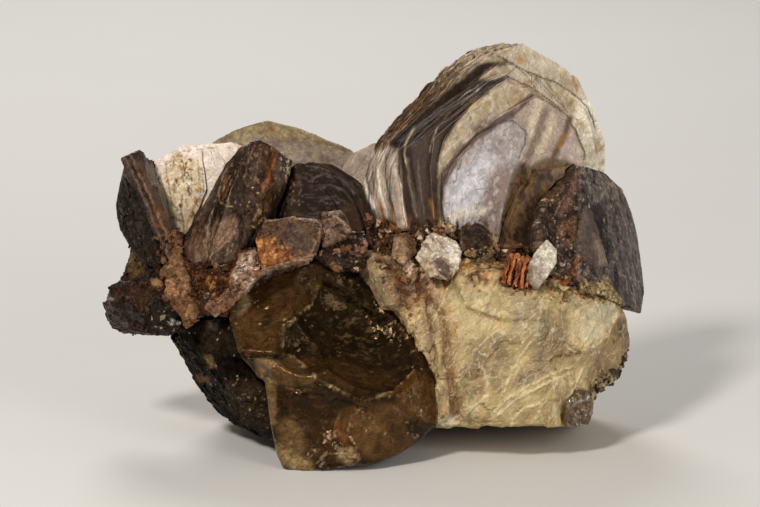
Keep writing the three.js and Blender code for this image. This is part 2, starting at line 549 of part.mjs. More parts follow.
// Crystals in the order in which they keep their shape: each is cut clear of those above.
const crystals = [
  { name: 'silver_mica_book', shapes: silverBook(), finish: 'paleMica' },
  { name: 'dark_mica_knob', shapes: darkKnob(), finish: 'darkMica' },
  { name: 'white_mica_flake', shapes: whiteFlake(), finish: 'paleMica' },
  { name: 'rust_mica_book', shapes: rustBook(), finish: 'rust' },
  { name: 'lilac_mica_lump', shapes: lilacLump(), finish: 'brownMica' },
  { name: 'right_mica_book', shapes: rightBook(), finish: 'darkMica' },
  { name: 'tall_mica_book', shapes: tallBook(), finish: 'mica' },
  { name: 'fan_mica_book', shapes: fanBook(), finish: 'brownMica' },
  { name: 'edge_mica_book', shapes: edgeBook(), finish: 'darkMica' },
  { name: 'tooth_mica_crystal', shapes: toothCrystal(), finish: 'brownMica' },
  { name: 'centre_mica_slab', shapes: centreSlab(), finish: 'brownMica' },
  { name: 'dark_mica_crystal', shapes: darkCrystal(), finish: 'darkMica' },
  { name: 'round_mica_book', shapes: roundBook(), finish: 'darkMica' },
  { name: 'pale_mica_book', shapes: paleBook(), finish: 'paleMica' },
  { name: 'saddle_mica_book', shapes: saddleBook(), finish: 'mica' },
  { name: 'rear_mica_book', shapes: rearBook(), finish: 'mica' },
  { name: 'smoky_quartz', shapes: smokyQuartz(), hollows: quartzHollows(), finish: 'quartz' },
  { name: 'pink_mica_crust', shapes: pinkCrust(), finish: 'pinkMica' },
  { name: 'brown_mica_mass', shapes: brownMica(), finish: 'brownMica' },
  { name: 'left_mica_knob', shapes: leftKnob(), finish: 'brownMica' },
  { name: 'dark_quartz_flank', shapes: darkFlank(), finish: 'quartz' },
  { name: 'clear_quartz_nub', shapes: clearNub(), finish: 'clearQuartz' },
  { name: 'feldspar_matrix', shapes: feldspar(), hollows: matrixHollows(), finish: 'feldspar' },
];

// The space below the surface that the specimen stands on, in the display frame.
function underTheStand() {
  const depth = 40;
  const box = new THREE.BoxGeometry(300, 300, depth);
  box.translate(0, 0, STAND_HEIGHT - depth / 2);
  box.rotateX(REST_TILT * DEG);
  return box;
}

const specimen = new THREE.Group();
specimen.rotation.x = -REST_TILT * DEG;
specimen.position.set(-CENTRE_X, -CENTRE_Y, -STAND_HEIGHT);

let taken = solidOf(underTheStand());
for (const { name, shapes, hollows = [], finish } of crystals) {
  const whole = joined(shapes).subtract(taken);
  const solid = mainPiece(hollows.map(solidOf).reduce((rest, hollow) => rest.subtract(hollow), whole));
  taken = taken.add(joined(shapes.map(withGap)));
  const mesh = new THREE.Mesh(geometryOf(solid), new THREE.MeshStandardMaterial(finishes[finish]));
  mesh.name = name;
  specimen.add(mesh);
}

const root = new THREE.Group();
root.add(specimen);

export default root;
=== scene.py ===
# The looks of the lepidolite specimen. Five mica books are built up from single sheets. The
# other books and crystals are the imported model's own shapes, meshed finely and carved.
#
# Shapes are worked in the display frame of the model's source, in millimetres: x to the
# right, depth away from the viewer, height up. Marks are placed by where they are seen
# from the front, in picture units of 0.2 mm from the top left of a 760 by 507 frame.

import itertools
import math

import bpy
import numpy as np
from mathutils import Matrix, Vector
from mathutils.geometry import delaunay_2d_cdt


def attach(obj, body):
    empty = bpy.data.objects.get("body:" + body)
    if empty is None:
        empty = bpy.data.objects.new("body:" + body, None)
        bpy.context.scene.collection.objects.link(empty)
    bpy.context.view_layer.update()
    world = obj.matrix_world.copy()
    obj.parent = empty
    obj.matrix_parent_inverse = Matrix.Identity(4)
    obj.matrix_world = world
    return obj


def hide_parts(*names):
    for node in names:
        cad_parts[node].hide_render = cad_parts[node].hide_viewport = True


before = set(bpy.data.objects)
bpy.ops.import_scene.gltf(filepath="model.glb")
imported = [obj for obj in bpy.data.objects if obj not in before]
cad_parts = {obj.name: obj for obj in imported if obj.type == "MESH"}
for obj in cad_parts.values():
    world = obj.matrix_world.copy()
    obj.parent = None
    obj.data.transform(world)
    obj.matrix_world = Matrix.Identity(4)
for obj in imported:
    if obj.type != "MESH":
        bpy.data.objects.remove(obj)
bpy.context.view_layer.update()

# The display frame leans back by REST_TILT as the specimen rests. CENTRE leads from its origin
# to the record's, in millimetres along the resting axes
MM = 0.001
REST_TILT = math.radians(12)
CENTRE = np.array([0.3, 4.1, 6.3])

# The eye, in millimetres straight in front of a point of the display frame, the middle of its
# picture and the picture's unit at no depth, and the camera's lens and sensor
EYE_DISTANCE = 1267.0
EYE_AIM = (1.7, 43.3)
FRAME_CENTRE = (380.0, 253.5)
PICTURE_UNIT = 0.2
LENS = 300.0
SENSOR = 36.0

# Mica books: how thick a sheet is, how far sheets stand apart and usually wave, how finely
# their edges, bare faces and backs are divided, how far a face runs on under the next sheet,
# and the smallest sheet in square millimetres
SHEET = 0.3
SHEET_PARTING = 0.04
SHEET_WAVES = 0.15
OUTLINE_STEP = 0.6
FACE_STEP = 0.3
BACK_STEP = 0.8
FACE_UNDERLAP = 1.5
SMALLEST_SHEET = 1.5

# A book is cut just off the middle of each sheet, clear of the points of the model. A sheet
# whose neighbour is as large as this share of it has no bare face
CUT_AT = 0.513
COVERING_SHARE = 0.97

# Growth rings on the sheets are hexagons: about the cosine and sine of 60 degrees, and how much
# wider a ring is for each millimetre through the book
RING_COSINE = 0.5
RING_SINE = 0.87
RING_WIDENING = 1.7

# How far painted outlines waver, in picture units, and how far carved crystals grow to meet
# their neighbours, in millimetres
MARK_WOBBLE = 0.8
GROWTH = 0.5

# Crumbs lie where nothing hides the surface from the front. That is found in square cells of
# the picture, fewer than SIGHT_ROW to a row, to a depth in millimetres
SIGHT_CELL = 1.5
SIGHT_ROW = 2000
SIGHT_DEPTH = 0.6

# Crumbs: the seed of their places and shapes, how much of the surface's own colour they take,
# and how high the middles of crumbs and of the larger fragments stand over it
CRUMB_SEED = 5
HOST_SHARE = 0.4
CRUMB_HEIGHT = 0.05
FRAGMENT_HEIGHT = -0.1

# Floor, camera and backdrop, in metres
FLOOR_SIZE = 8.0
FLOOR_PLACE = (0, 1.5, 0)
FAR_CLIP = 20.0
BACKDROP = (1.0, 0.96, 0.9, 1)
BACKDROP_STRENGTH = 0.22

# Where the lamps point, and each lamp's name, place, size, power and tone
LAMP_AIM = (0, 0, 0.04)
LAMPS = [
    ("key", (-0.3, -0.6, 0.6), 0.16, 4.9, (1.0, 0.94, 0.85)),
    ("fill", (0.5, -0.7, 0.35), 0.4, 2.2, (1.0, 0.96, 0.9)),
    ("sheen", (0.8, -0.25, 0.1), 0.2, 0.7, (0.95, 0.97, 1.0)),
    ("rim", (-0.1, 0.6, 0.5), 0.3, 2.0, (1.0, 0.98, 0.95)),
]


# Frames


def to_display(metres):
    x, y, z = (metres / MM + CENTRE).T
    depth = y * math.cos(REST_TILT) - z * math.sin(REST_TILT)
    height = y * math.sin(REST_TILT) + z * math.cos(REST_TILT)
    return np.stack([x, depth, height], axis=1)


def to_world(display):
    x, depth, height = display.T
    y = depth * math.cos(REST_TILT) + height * math.sin(REST_TILT)
    z = height * math.cos(REST_TILT) - depth * math.sin(REST_TILT)
    return (np.stack([x, y, z], axis=1) - CENTRE) * MM


def seen_at(display):
    """Where points are seen from the front, in picture units."""
    nearer = EYE_DISTANCE / (EYE_DISTANCE + display[:, 1]) / PICTURE_UNIT
    right = FRAME_CENTRE[0] + (display[:, 0] - EYE_AIM[0]) * nearer
    down = FRAME_CENTRE[1] - (display[:, 2] - EYE_AIM[1]) * nearer
    return np.stack([right, down], axis=1)


# Noise and masks


def smooth(value):
    value = np.clip(value, 0, 1)
    return value * value * (3 - 2 * value)


def scrambled(cell, seed):
    """A number from 0 to 1 for each whole-number cell, the same on every run."""
    mixed = cell[:, 0] * 73856093 ^ cell[:, 1] * 19349663 ^ cell[:, 2] * 83492791 ^ (seed + 1) * 668265263
    mixed = (mixed ^ (mixed >> 13)) * 1274126177 & 0x7FFFFFFF
    return ((mixed ^ (mixed >> 15)) & 0xFFFF) / 65535


def lumpy(points, size, seed=0):
    """Smooth noise from -1 to 1 with lumps of the given size, which may differ by axis."""
    scaled = points / size
    low = np.floor(scaled).astype(np.int64)
    part = smooth(scaled - low)
    total = 0
    for corner in itertools.product((0, 1), repeat=3):
        weight = np.prod(np.where(corner, part, 1 - part), axis=1)
        total = total + weight * scrambled(low + np.array(corner), seed)
    return total * 2 - 1


def rough(points, size, layers=4, seed=0):
    """Noise from about -1 to 1 with finer and weaker lumps on coarse ones."""
    size = np.asarray(size, float)
    total = sum(0.55**k * lumpy(points, size / 2**k, seed + 7 * k) for k in range(layers))
    return total * 0.75


def ridged(points, size, layers=3, seed=0):
    """Noise from 0 to 1 that rises to sharp crests."""
    size = np.asarray(size, float)
    parts = [0.5**k * (1 - abs(lumpy(points, size / 2**k, seed + 5 * k))) for k in range(layers)]
    return sum(parts) / sum(0.5**k for k in range(layers))


def chipped(points, size, seed=0):
    """Broken facets: every cell is a flat tilted its own way. Heights run from 0 to 1."""
    scaled = (points + rough(points, 2 * np.mean(size), 2, seed)[:, None] * 0.35 * np.mean(size)) / size
    low = np.floor(scaled).astype(np.int64)
    best = np.full(len(points), 9.0)
    height = np.zeros(len(points))
    for shift in itertools.product((-1, 0, 1), repeat=3):
        cell = low + np.array(shift)
        seeds = np.stack([scrambled(cell, seed + k) for k in range(3)], axis=1)
        away = scaled - cell - seeds
        distance = (away**2).sum(axis=1)
        tilt = np.stack([scrambled(cell, seed + 3 + k) - 0.5 for k in range(3)], axis=1)
        flat = 0.5 + (away * tilt).sum(axis=1) * 1.3 + (scrambled(cell, seed + 9) - 0.5) * 0.5
        closer = distance < best
        best = np.where(closer, distance, best)
        height = np.where(closer, flat, height)
    return np.clip(height, 0, 1)


def away_from(at, path):
    """Distance from a path in picture units."""
    path = np.array(path, float)
    nearest = np.full(len(at), 1e9)
    for start, end in zip(path[:-1], path[1:]):
        run = end - start
        share = np.clip(((at - start) @ run) / (run @ run), 0, 1)
        gap = np.linalg.norm(at - start - share[:, None] * run, axis=1)
        nearest = np.minimum(nearest, gap)
    return nearest


def along(at, path, width):
    """1 on a path, falling to 0 at the given distance from it."""
    return smooth(1 - away_from(at, path) / width)


def inside(at, outline):
    outline = np.array(outline, float)
    odd = np.zeros(len(at), bool)
    for (x0, y0), (x1, y1) in zip(outline, np.roll(outline, -1, axis=0)):
        spans = (y0 > at[:, 1]) != (y1 > at[:, 1])
        with np.errstate(divide="ignore", invalid="ignore"):
            crossing = x0 + (at[:, 1] - y0) * (x1 - x0) / (y1 - y0)
        odd ^= spans & (at[:, 0] < crossing)
    return odd


def within(at, outline, blur=3):
    """1 inside an outline and 0 outside it, with a soft edge."""
    closed = list(outline) + [outline[0]]
    gap = away_from(at, closed)
    signed = np.where(inside(at, outline), gap, -gap)
    return smooth(0.5 + signed / (2 * blur))


def colour(red, green, blue):
    """A linear colour from the usual 0 to 255 values."""
    value = np.array([red, green, blue], float) / 255
    return np.where(value <= 0.04045, value / 12.92, ((value + 0.055) / 1.055) ** 2.4)


# Pieces


class Piece:
    """A mesh that is carved and painted in the display frame, with a colour at each point."""

    def __init__(self, points, faces, tone, node=None):
        self.node = node
        self.mesh = bpy.data.meshes.new("piece")
        self.mesh.from_pydata(points.tolist(), [], faces)
        self.mesh.update()
        self.points = points.copy()
        # Where each point is seen, wavering a little so that marks have natural edges
        wobble = [lumpy(points, 1.1, seed) + 0.6 * lumpy(points, 0.5, seed + 2) for seed in (71, 72)]
        self.at = seen_at(points) + np.stack(wobble, axis=1) * MARK_WOBBLE
        # 1 where the surface faces the viewer, fading to 0 a little behind its sides
        self.front = smooth(0.4 - 1.4 * self.normals()[:, 1])
        self.paint_layer = np.tile(colour(*tone), (len(points), 1))
        self.shine = np.zeros(len(points))
        self.extra = {}

    def normals(self):
        found = np.zeros(len(self.points) * 3)
        self.mesh.vertex_normals.foreach_get("vector", found)
        return found.reshape(-1, 3)

    def push(self, distance):
        """Moves the surface out by a distance at each point, or in where it is negative."""
        self.points += self.normals() * np.broadcast_to(distance, len(self.points))[:, None]
        self.mesh.vertices.foreach_set("co", self.points.ravel())
        self.mesh.update()

    def soften(self, rounds):
        """Evens the surface out, each point moving half-way to the middle of its neighbours."""
        edges = np.zeros(len(self.mesh.edges) * 2, np.int64)
        self.mesh.edges.foreach_get("vertices", edges)
        one, other = edges.reshape(-1, 2).T
        count = np.bincount(np.r_[one, other], minlength=len(self.points))
        for _ in range(rounds):
            total = np.zeros_like(self.points)
            np.add.at(total, one, self.points[other])
            np.add.at(total, other, self.points[one])
            self.points += 0.5 * (total / count[:, None] - self.points)
        self.mesh.vertices.foreach_set("co", self.points.ravel())
        self.mesh.update()

    def paint(self, tone, share):
        share = np.clip(np.broadcast_to(share, len(self.points)), 0, 1)[:, None]
        self.paint_layer += (colour(*tone) - self.paint_layer) * share

    def within(self, outline, blur):
        """1 where a point is seen inside an outline, in front or through the piece."""
        return within(self.at, outline, blur)

    def patch(self, outline, blur):
        """1 on the part of the front that is seen inside an outline."""
        return self.within(outline, blur) * self.front

    def right_of(self, line, blur):
        """0 left of a line of the picture, rising to 1 over the blur at its right."""
        return smooth((self.at[:, 0] - line) / blur)

    def left_of(self, line, blur):
        """0 right of a line of the picture, rising to 1 over the blur at its left."""
        return smooth((line - self.at[:, 0]) / blur)

    def below(self, line, blur):
        """0 above a line of the picture, rising to 1 over the blur below it."""
        return smooth((self.at[:, 1] - line) / blur)

    def cracks(self, size, level, fade):
        """1 along a net of fine cracks, thinner for a higher level."""
        return smooth((ridged(self.points, size, 2, 12) - level) / fade)

    def zone(self, outline, tone, blur, share=1):
        """Paints the part of the front that is seen inside an outline."""
        self.paint(tone, self.patch(outline, blur) * share)

    def stroke(self, path, tone, width, share=1):
        """Paints a line along a path on the front."""
        self.paint(tone, along(self.at, path, width) * self.front * share)

    def zones(self, table, share=1):
        """Paints zones from rows of tone, soft edge, outline and, if need be, a share."""
        for tone, blur, outline, *own in table:
            self.zone(outline, tone, blur, *(own or [share]))

    def strokes(self, table):
        """Paints lines from rows of tone, half-width, path and, if need be, a share."""
        for tone, width, path, *own in table:
            self.stroke(path, tone, width, *own)

    def lift(self, outline, height, blur):
        """Raises what is seen inside an outline, or lowers it where the height is negative."""
        self.push(height * self.within(outline, blur))

    def chip(self, *layers):
        """Breaks flats into the surface, from layers of depth, size and seed."""
        self.push(-sum(depth * chipped(self.points, size, seed) for depth, size, seed in layers))

    def groove(self, path, width, depth):
        """Carves along a path on the front, or raises a ridge where the depth is negative."""
        self.push(-depth * along(self.at, path, width) * self.front)

    def specks(self, tone, size, cover, where=1, seed=0, share=1, turn=0):
        """Paints specks of a size over about the given part of a surface."""
        spread = rough(self.points @ rotation(turn), size, 3, seed + 200)
        level = np.quantile(spread, 1 - cover)
        self.paint(tone, smooth((spread - level) / 0.12) * where * share)

    def shade(self, factor):
        """Makes the colour lighter or darker by a factor at each point."""
        self.paint_layer *= np.broadcast_to(factor, len(self.points))[:, None]

    def build(self, name, slot, finish, polished=False):
        """Makes the visible object, in metres and cut off at the floor."""
        world = to_world(self.points)
        world[:, 2] = np.maximum(world[:, 2], 0)
        placed = self.mesh.copy()
        placed.vertices.foreach_set("co", world.ravel())
        placed.update()
        layer = placed.attributes.new("paint", "FLOAT_COLOR", "POINT")
        rgba = np.c_[np.clip(self.paint_layer, 0, 1), self.shine]
        layer.data.foreach_set("color", rgba.ravel())
        for key, values in self.extra.items():
            layer = placed.attributes.new(key, "FLOAT_VECTOR", "POINT")
            layer.data.foreach_set("vector", np.asarray(values, float).ravel())
        if polished:
            placed.shade_smooth()
        placed.name = name
        placed.materials.append(finish)
        shown = bpy.data.objects.new(name, placed)
        bpy.context.scene.collection.objects.link(shown)
        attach(shown, "root")
        if self.node:
            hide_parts(self.node)
        return self


def node_shape(node):
    """A node's welded points in the display frame, and its triangles."""
    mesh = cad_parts[node].data
    mesh.calc_loop_triangles()
    points = np.zeros(len(mesh.vertices) * 3)
    mesh.vertices.foreach_get("co", points)
    points = to_display(points.reshape(-1, 3))
    triangles = np.zeros(len(mesh.loop_triangles) * 3, np.int64)
    mesh.loop_triangles.foreach_get("vertices", triangles)
    _, first, same = np.unique(np.round(points, 3), axis=0, return_index=True, return_inverse=True)
    return points[first], same.ravel()[triangles].reshape(-1, 3)


def rotation(degrees):
    """Turns points about the depth axis, for marks and chips that lie at a slant."""
    angle = math.radians(degrees)
    cos, sin = math.cos(angle), math.sin(angle)
    return np.array([[cos, 0, sin], [0, 1, 0], [-sin, 0, cos]])


def carved(node, cell, tone):
    """A finely meshed copy of a node, grown to meet its neighbours, ready to be carved."""
    points, triangles = node_shape(node)
    mesh = bpy.data.meshes.new("rough")
    mesh.from_pydata(points.tolist(), [], triangles.tolist())
    block = bpy.data.objects.new("rough", mesh)
    bpy.context.scene.collection.objects.link(block)
    remesh = block.modifiers.new("fine", "REMESH")
    remesh.mode = "VOXEL"
    remesh.voxel_size = cell
    depsgraph = bpy.context.evaluated_depsgraph_get()
    fine = bpy.data.meshes.new_from_object(block.evaluated_get(depsgraph))
    found = np.zeros(len(fine.vertices) * 3)
    fine.vertices.foreach_get("co", found)
    faces = [tuple(face.vertices) for face in fine.polygons]
    bpy.data.objects.remove(block)
    bpy.data.meshes.remove(mesh)
    bpy.data.meshes.remove(fine)
    piece = Piece(found.reshape(-1, 3), faces, tone, node)
    piece.push(GROWTH)
    return piece


# Books of sheets


def book_axes(turn, lean):
    """A book's own axes as rows: across its face, up its face, and out of its face."""
    turn, lean = math.radians(turn), math.radians(lean)
    out = np.array([math.sin(turn) * math.cos(lean), -math.cos(turn) * math.cos(lean), math.sin(lean)])
    across = np.array([math.cos(turn), math.sin(turn), 0])
    return np.stack([across, np.cross(out, across), out])


def section(points, triangles, level):
    """The outlines in which a closed shape meets the plane at that height."""
    above = points[:, 2] > level
    cut = triangles[above[triangles].any(axis=1) & ~above[triangles].all(axis=1)]
    links = {}
    for corners in cut:
        crossed = [
            tuple(sorted((a, b)))
            for a, b in zip(corners, np.roll(corners, -1))
            if above[a] != above[b]
        ]
        links.setdefault(crossed[0], []).append(crossed[1])
        links.setdefault(crossed[1], []).append(crossed[0])
    outlines = []
    while links:
        start = next(iter(links))
        chain, step = [start], links.pop(start)[0]
        while step in links:
            chain.append(step)
            ways = links.pop(step)
            step = ways[0] if ways[0] in links else ways[-1]
        a, b = np.array(chain).T
        share = (level - points[a, 2]) / (points[b, 2] - points[a, 2])
        outlines.append((points[a] + share[:, None] * (points[b] - points[a]))[:, :2])
    return outlines


def area_of(outline):
    x, y = outline.T
    return 0.5 * float(x @ np.roll(y, -1) - y @ np.roll(x, -1))


def resampled(outline, step):
    """The outline with evenly spaced points, running anticlockwise."""
    if area_of(outline) < 0:
        outline = outline[::-1]
    closed = np.vstack([outline, outline[:1]])
    run = np.r_[0, np.cumsum(np.linalg.norm(np.diff(closed, axis=0), axis=1))]
    count = max(10, int(run[-1] / step))
    at = np.linspace(0, run[-1], count, endpoint=False)
    return np.stack([np.interp(at, run, closed[:, k]) for k in (0, 1)], axis=1)


def drawn_in(outline, distance):
    """The outline moved towards its inside by a distance at each point."""
    along_edge = np.roll(outline, -1, axis=0) - np.roll(outline, 1, axis=0)
    along_edge /= np.linalg.norm(along_edge, axis=1)[:, None] + 1e-9
    inward = np.stack([-along_edge[:, 1], along_edge[:, 0]], axis=1)
    return outline + inward * distance[:, None]


def face_points(outline, hidden, step):
    """Points spread over the part of a sheet's face that the next sheet leaves bare."""
    low, high = outline.min(axis=0), outline.max(axis=0)
    across, up = (np.arange(low[k], high[k], step) for k in (0, 1))
    grid = np.stack(np.meshgrid(across, up), axis=-1).reshape(-1, 2)
    grid[:, 0] += np.where((grid[:, 1] / step).astype(int) % 2, step / 2, 0)
    bare = inside(grid, drawn_in(outline, np.full(len(outline), step * 0.7)))
    for cover in hidden:
        bare &= ~inside(grid, drawn_in(cover, np.full(len(cover), FACE_UNDERLAP)))
    return grid[bare]


def filled(outline, extra):
    """Points and triangles that fill an outline."""
    count = len(outline)
    corners = [Vector(p) for p in np.vstack([outline, extra])]
    edges = [(k, (k + 1) % count) for k in range(count)]
    found, _, faces, _, _, _ = delaunay_2d_cdt(corners, edges, [], 1, 1e-5)
    return np.array([tuple(p) for p in found]), faces


def sheet_outlines(local, triangles):
    """The outlines of a book's sheets, the level of each sheet, and half its thickness."""
    low, high = local[:, 2].min(), local[:, 2].max()
    count = int((high - low) / SHEET)
    levels = low + (np.arange(count) + CUT_AT) * (high - low) / count
    half = (high - low) / count / 2 - SHEET_PARTING / 2
    stack = []
    for level in levels:
        found = [o for o in section(local, triangles, level) if len(o) > 2]
        found = [o for o in found if abs(area_of(o)) > SMALLEST_SHEET]
        outer = [o for o in found if not any(o is not p and inside(o[:1], p)[0] for p in found)]
        stack.append([resampled(o, OUTLINE_STEP) for o in outer])
    return stack, levels, half


class SheetMesh:
    """The points and faces of a book's sheets, and whether each point is on an edge."""

    def __init__(self):
        self.points, self.faces, self.on_edge = [], [], []
        self.total = 0

    def add(self, flat, heights, faces, on_edge):
        self.points.append(np.c_[flat, heights])
        self.faces += [tuple(self.total + k for k in face) for face in faces]
        self.on_edge.append(np.full(len(flat), float(on_edge)))
        self.total += len(flat)

    def add_wall(self, edge, low, high):
        ring = len(edge)
        heights = np.repeat([low, high], ring)
        faces = [(k, (k + 1) % ring, ring + (k + 1) % ring, ring + k) for k in range(ring)]
        self.add(np.vstack([edge, edge]), heights, faces, 1)

    def add_face(self, edge, extra, level, upper):
        flat, faces = filled(edge, extra)
        turned = faces if upper else [face[::-1] for face in faces]
        self.add(flat, np.full(len(flat), level), turned, 0)


def sheets_of(node, place, raggedness, seed):
    """A node rebuilt as a book of thin sheets with ragged edges.

    Raggedness gives how far edges are broken back at the places where they are seen. Every
    point also knows where it is in the book: across and up the face, through the sheets,
    and whether it is on a face (0) or on an edge (1)."""
    points, triangles = node_shape(node)
    axes = book_axes(place["turn"], place["lean"])
    stack, levels, half = sheet_outlines((points - place["origin"]) @ axes.T, triangles)
    sizes = np.array([sum(area_of(o) for o in outlines) for outlines in stack])
    made = SheetMesh()
    for i, outlines in enumerate(stack):
        own_break = 0.5 * scrambled(np.array([[i, 3, seed]]), 5)
        for outline in outlines:
            spot = np.c_[outline, np.full(len(outline), levels[i])]
            ragged = raggedness(seen_at(spot @ axes + place["origin"]))
            broken = abs(rough(spot * [1, 1, 3], 4, 4, seed)) + own_break
            edge = drawn_in(outline, broken * ragged)
            made.add_wall(edge, levels[i] - half, levels[i] + half)
            for side, step in ((-1, BACK_STEP), (1, FACE_STEP)):
                beyond = i + side
                has_next = 0 <= beyond < len(stack)
                covered = has_next and sizes[beyond] > COVERING_SHARE * sizes[i]
                next_outlines = stack[beyond] if has_next else []
                extra = np.zeros((0, 2)) if covered else face_points(edge, next_outlines, step)
                made.add_face(edge, extra, levels[i] + side * half, side > 0)
    leaf = np.vstack(made.points)
    edge = np.concatenate(made.on_edge)
    waves = rough(leaf * [1, 1, 0.2], 11, 2, seed + 40) * place.get("waves", SHEET_WAVES)
    waved = leaf + np.c_[np.zeros((len(leaf), 2)), waves]
    piece = Piece(waved @ axes + place["origin"], made.faces, (120, 105, 95), node)
    piece.leaf, piece.edge = leaf, edge

    x, y, z = leaf.T
    part_x, part_y = x * RING_COSINE, y * RING_SINE
    ring = np.max([abs(x), abs(part_x + part_y), abs(part_x - part_y)], axis=0)
    piece.extra["leaf"] = leaf
    piece.extra["edge"] = np.tile(edge[:, None], 3)
    piece.extra["rings"] = np.stack([ring + RING_WIDENING * z, x, y], axis=1)
    return piece


# Finishes


# Tints of the reflections on mica and on smoky quartz
WARM = (0.85, 0.65, 0.48, 1)
BROWN = (0.5, 0.33, 0.18, 1)


class Finish:
    """A material under construction: one shader with textures in the object's own space."""

    def __init__(self, name, **constants):
        self.material = bpy.data.materials.new(name)
        self.material.use_nodes = True
        self.tree = self.material.node_tree
        self.shader = self.tree.nodes["Principled BSDF"]
        self.finish(**constants)
        self.space = self.add("TexCoord").outputs["Object"]
        paint = self.attribute("paint")
        self.painted = paint.outputs["Color"]
        self.shine = paint.outputs["Alpha"]

    def add(self, kind, inputs=None, **settings):
        node = self.tree.nodes.new("ShaderNode" + kind)
        for key, value in settings.items():
            setattr(node, key, value)
        for key, value in (inputs or {}).items():
            self.feed(node.inputs[key], value)
        return node

    def feed(self, socket, value):
        if isinstance(value, bpy.types.NodeSocket):
            self.tree.links.new(value, socket)
        else:
            socket.default_value = value

    def attribute(self, name):
        return self.add("Attribute", attribute_name=name)

    def grain(self, size, detail=4, stretch=(1, 1, 1), turn=(0, 0, 0), space=None, unit=MM, twist=0):
        """Noise from 0 to 1 with grains of a size in millimetres, longer where stretched."""
        space = self.scaled(space or self.space, size * unit, stretch, turn)
        made = self.add("TexNoise", {"Vector": space, "Scale": 1, "Detail": detail, "Distortion": twist})
        return made.outputs["Fac"]

    def noise_colour(self, size):
        space = self.scaled(self.space, size * MM, (1, 1, 1), (0, 0, 0))
        return self.add("TexNoise", {"Vector": space, "Scale": 1, "Detail": 3}).outputs["Color"]

    def scaled(self, space, size, stretch, turn):
        """Texture space turned by angles in degrees, then scaled so that a size becomes 1."""
        if any(turn):
            turned = {"Vector": space, "Rotation": [math.radians(a) for a in turn]}
            space = self.add("Mapping", turned).outputs["Vector"]
        scale = [1 / (size * s) for s in stretch]
        return self.add("Mapping", {"Vector": space, "Scale": scale}).outputs["Vector"]

    def cells(self, size, output="Color", feature="F1", stretch=(1, 1, 1), turn=(0, 0, 0),
              space=None, unit=MM):
        """Cells of a size in millimetres, longer where stretched."""
        scaled = self.scaled(space or self.space, size * unit, stretch, turn)
        return self.add("TexVoronoi", {"Vector": scaled, "Scale": 1}, feature=feature).outputs[output]

    def seams(self, size, stretch, turn=(0, 0, 0), space=None, unit=MM):
        """The distance from the seams between cells."""
        return self.cells(size, "Distance", "DISTANCE_TO_EDGE", stretch, turn, space, unit)

    def ranged(self, value, low, high, to_low=0.0, to_high=1.0):
        inputs = {"Value": value, "From Min": low, "From Max": high, "To Min": to_low, "To Max": to_high}
        return self.add("MapRange", inputs).outputs["Result"]

    def varied(self, noise, to_low, to_high):
        """Noise, which hardly leaves 0.3 to 0.7, spread over a wider or other range."""
        return self.ranged(noise, 0.3, 0.7, to_low, to_high)

    def plus(self, one, other):
        return self.maths("ADD", one, other)

    def times(self, one, other):
        return self.maths("MULTIPLY", one, other)

    def maths(self, operation, one, other):
        made = self.add("Math", operation=operation)
        self.feed(made.inputs[0], one)
        self.feed(made.inputs[1], other)
        return made.outputs[0]

    def blend(self, one, other, share, mode="MIX"):
        made = self.add("Mix", data_type="RGBA", blend_type=mode)
        self.feed(made.inputs["Factor"], share)
        self.feed(made.inputs[6], one)
        self.feed(made.inputs[7], other)
        return made.outputs[2]

    def shaded(self, shade):
        """The painted colour, made lighter or darker by a factor."""
        return self.blend(self.painted, shade, 1.0, "MULTIPLY")

    def bump(self, height, depth, strength):
        inputs = {"Height": height, "Distance": depth * MM, "Strength": strength}
        return self.add("Bump", inputs).outputs["Normal"]

    def glitter(self, normal, size, amount):
        """Turns the surface a little, each grain its own way, so that single grains flash."""
        random = self.add("VectorMath", operation="SUBTRACT")
        self.feed(random.inputs[0], self.cells(size))
        random.inputs[1].default_value = (0.5, 0.5, 0.5)
        scaled = self.add("VectorMath", operation="SCALE")
        self.feed(scaled.inputs[0], random.outputs[0])
        self.feed(scaled.inputs["Scale"], amount)
        added = self.add("VectorMath", operation="ADD")
        self.feed(added.inputs[0], normal)
        self.feed(added.inputs[1], scaled.outputs[0])
        turned = self.add("VectorMath", operation="NORMALIZE")
        self.feed(turned.inputs[0], added.outputs[0])
        return turned.outputs[0]

    def finish(self, **sockets):
        """Gives the shader's sockets their values, or links them."""
        for socket, value in sockets.items():
            self.feed(self.shader.inputs[socket.replace("_", " ")], value)
        return self.material


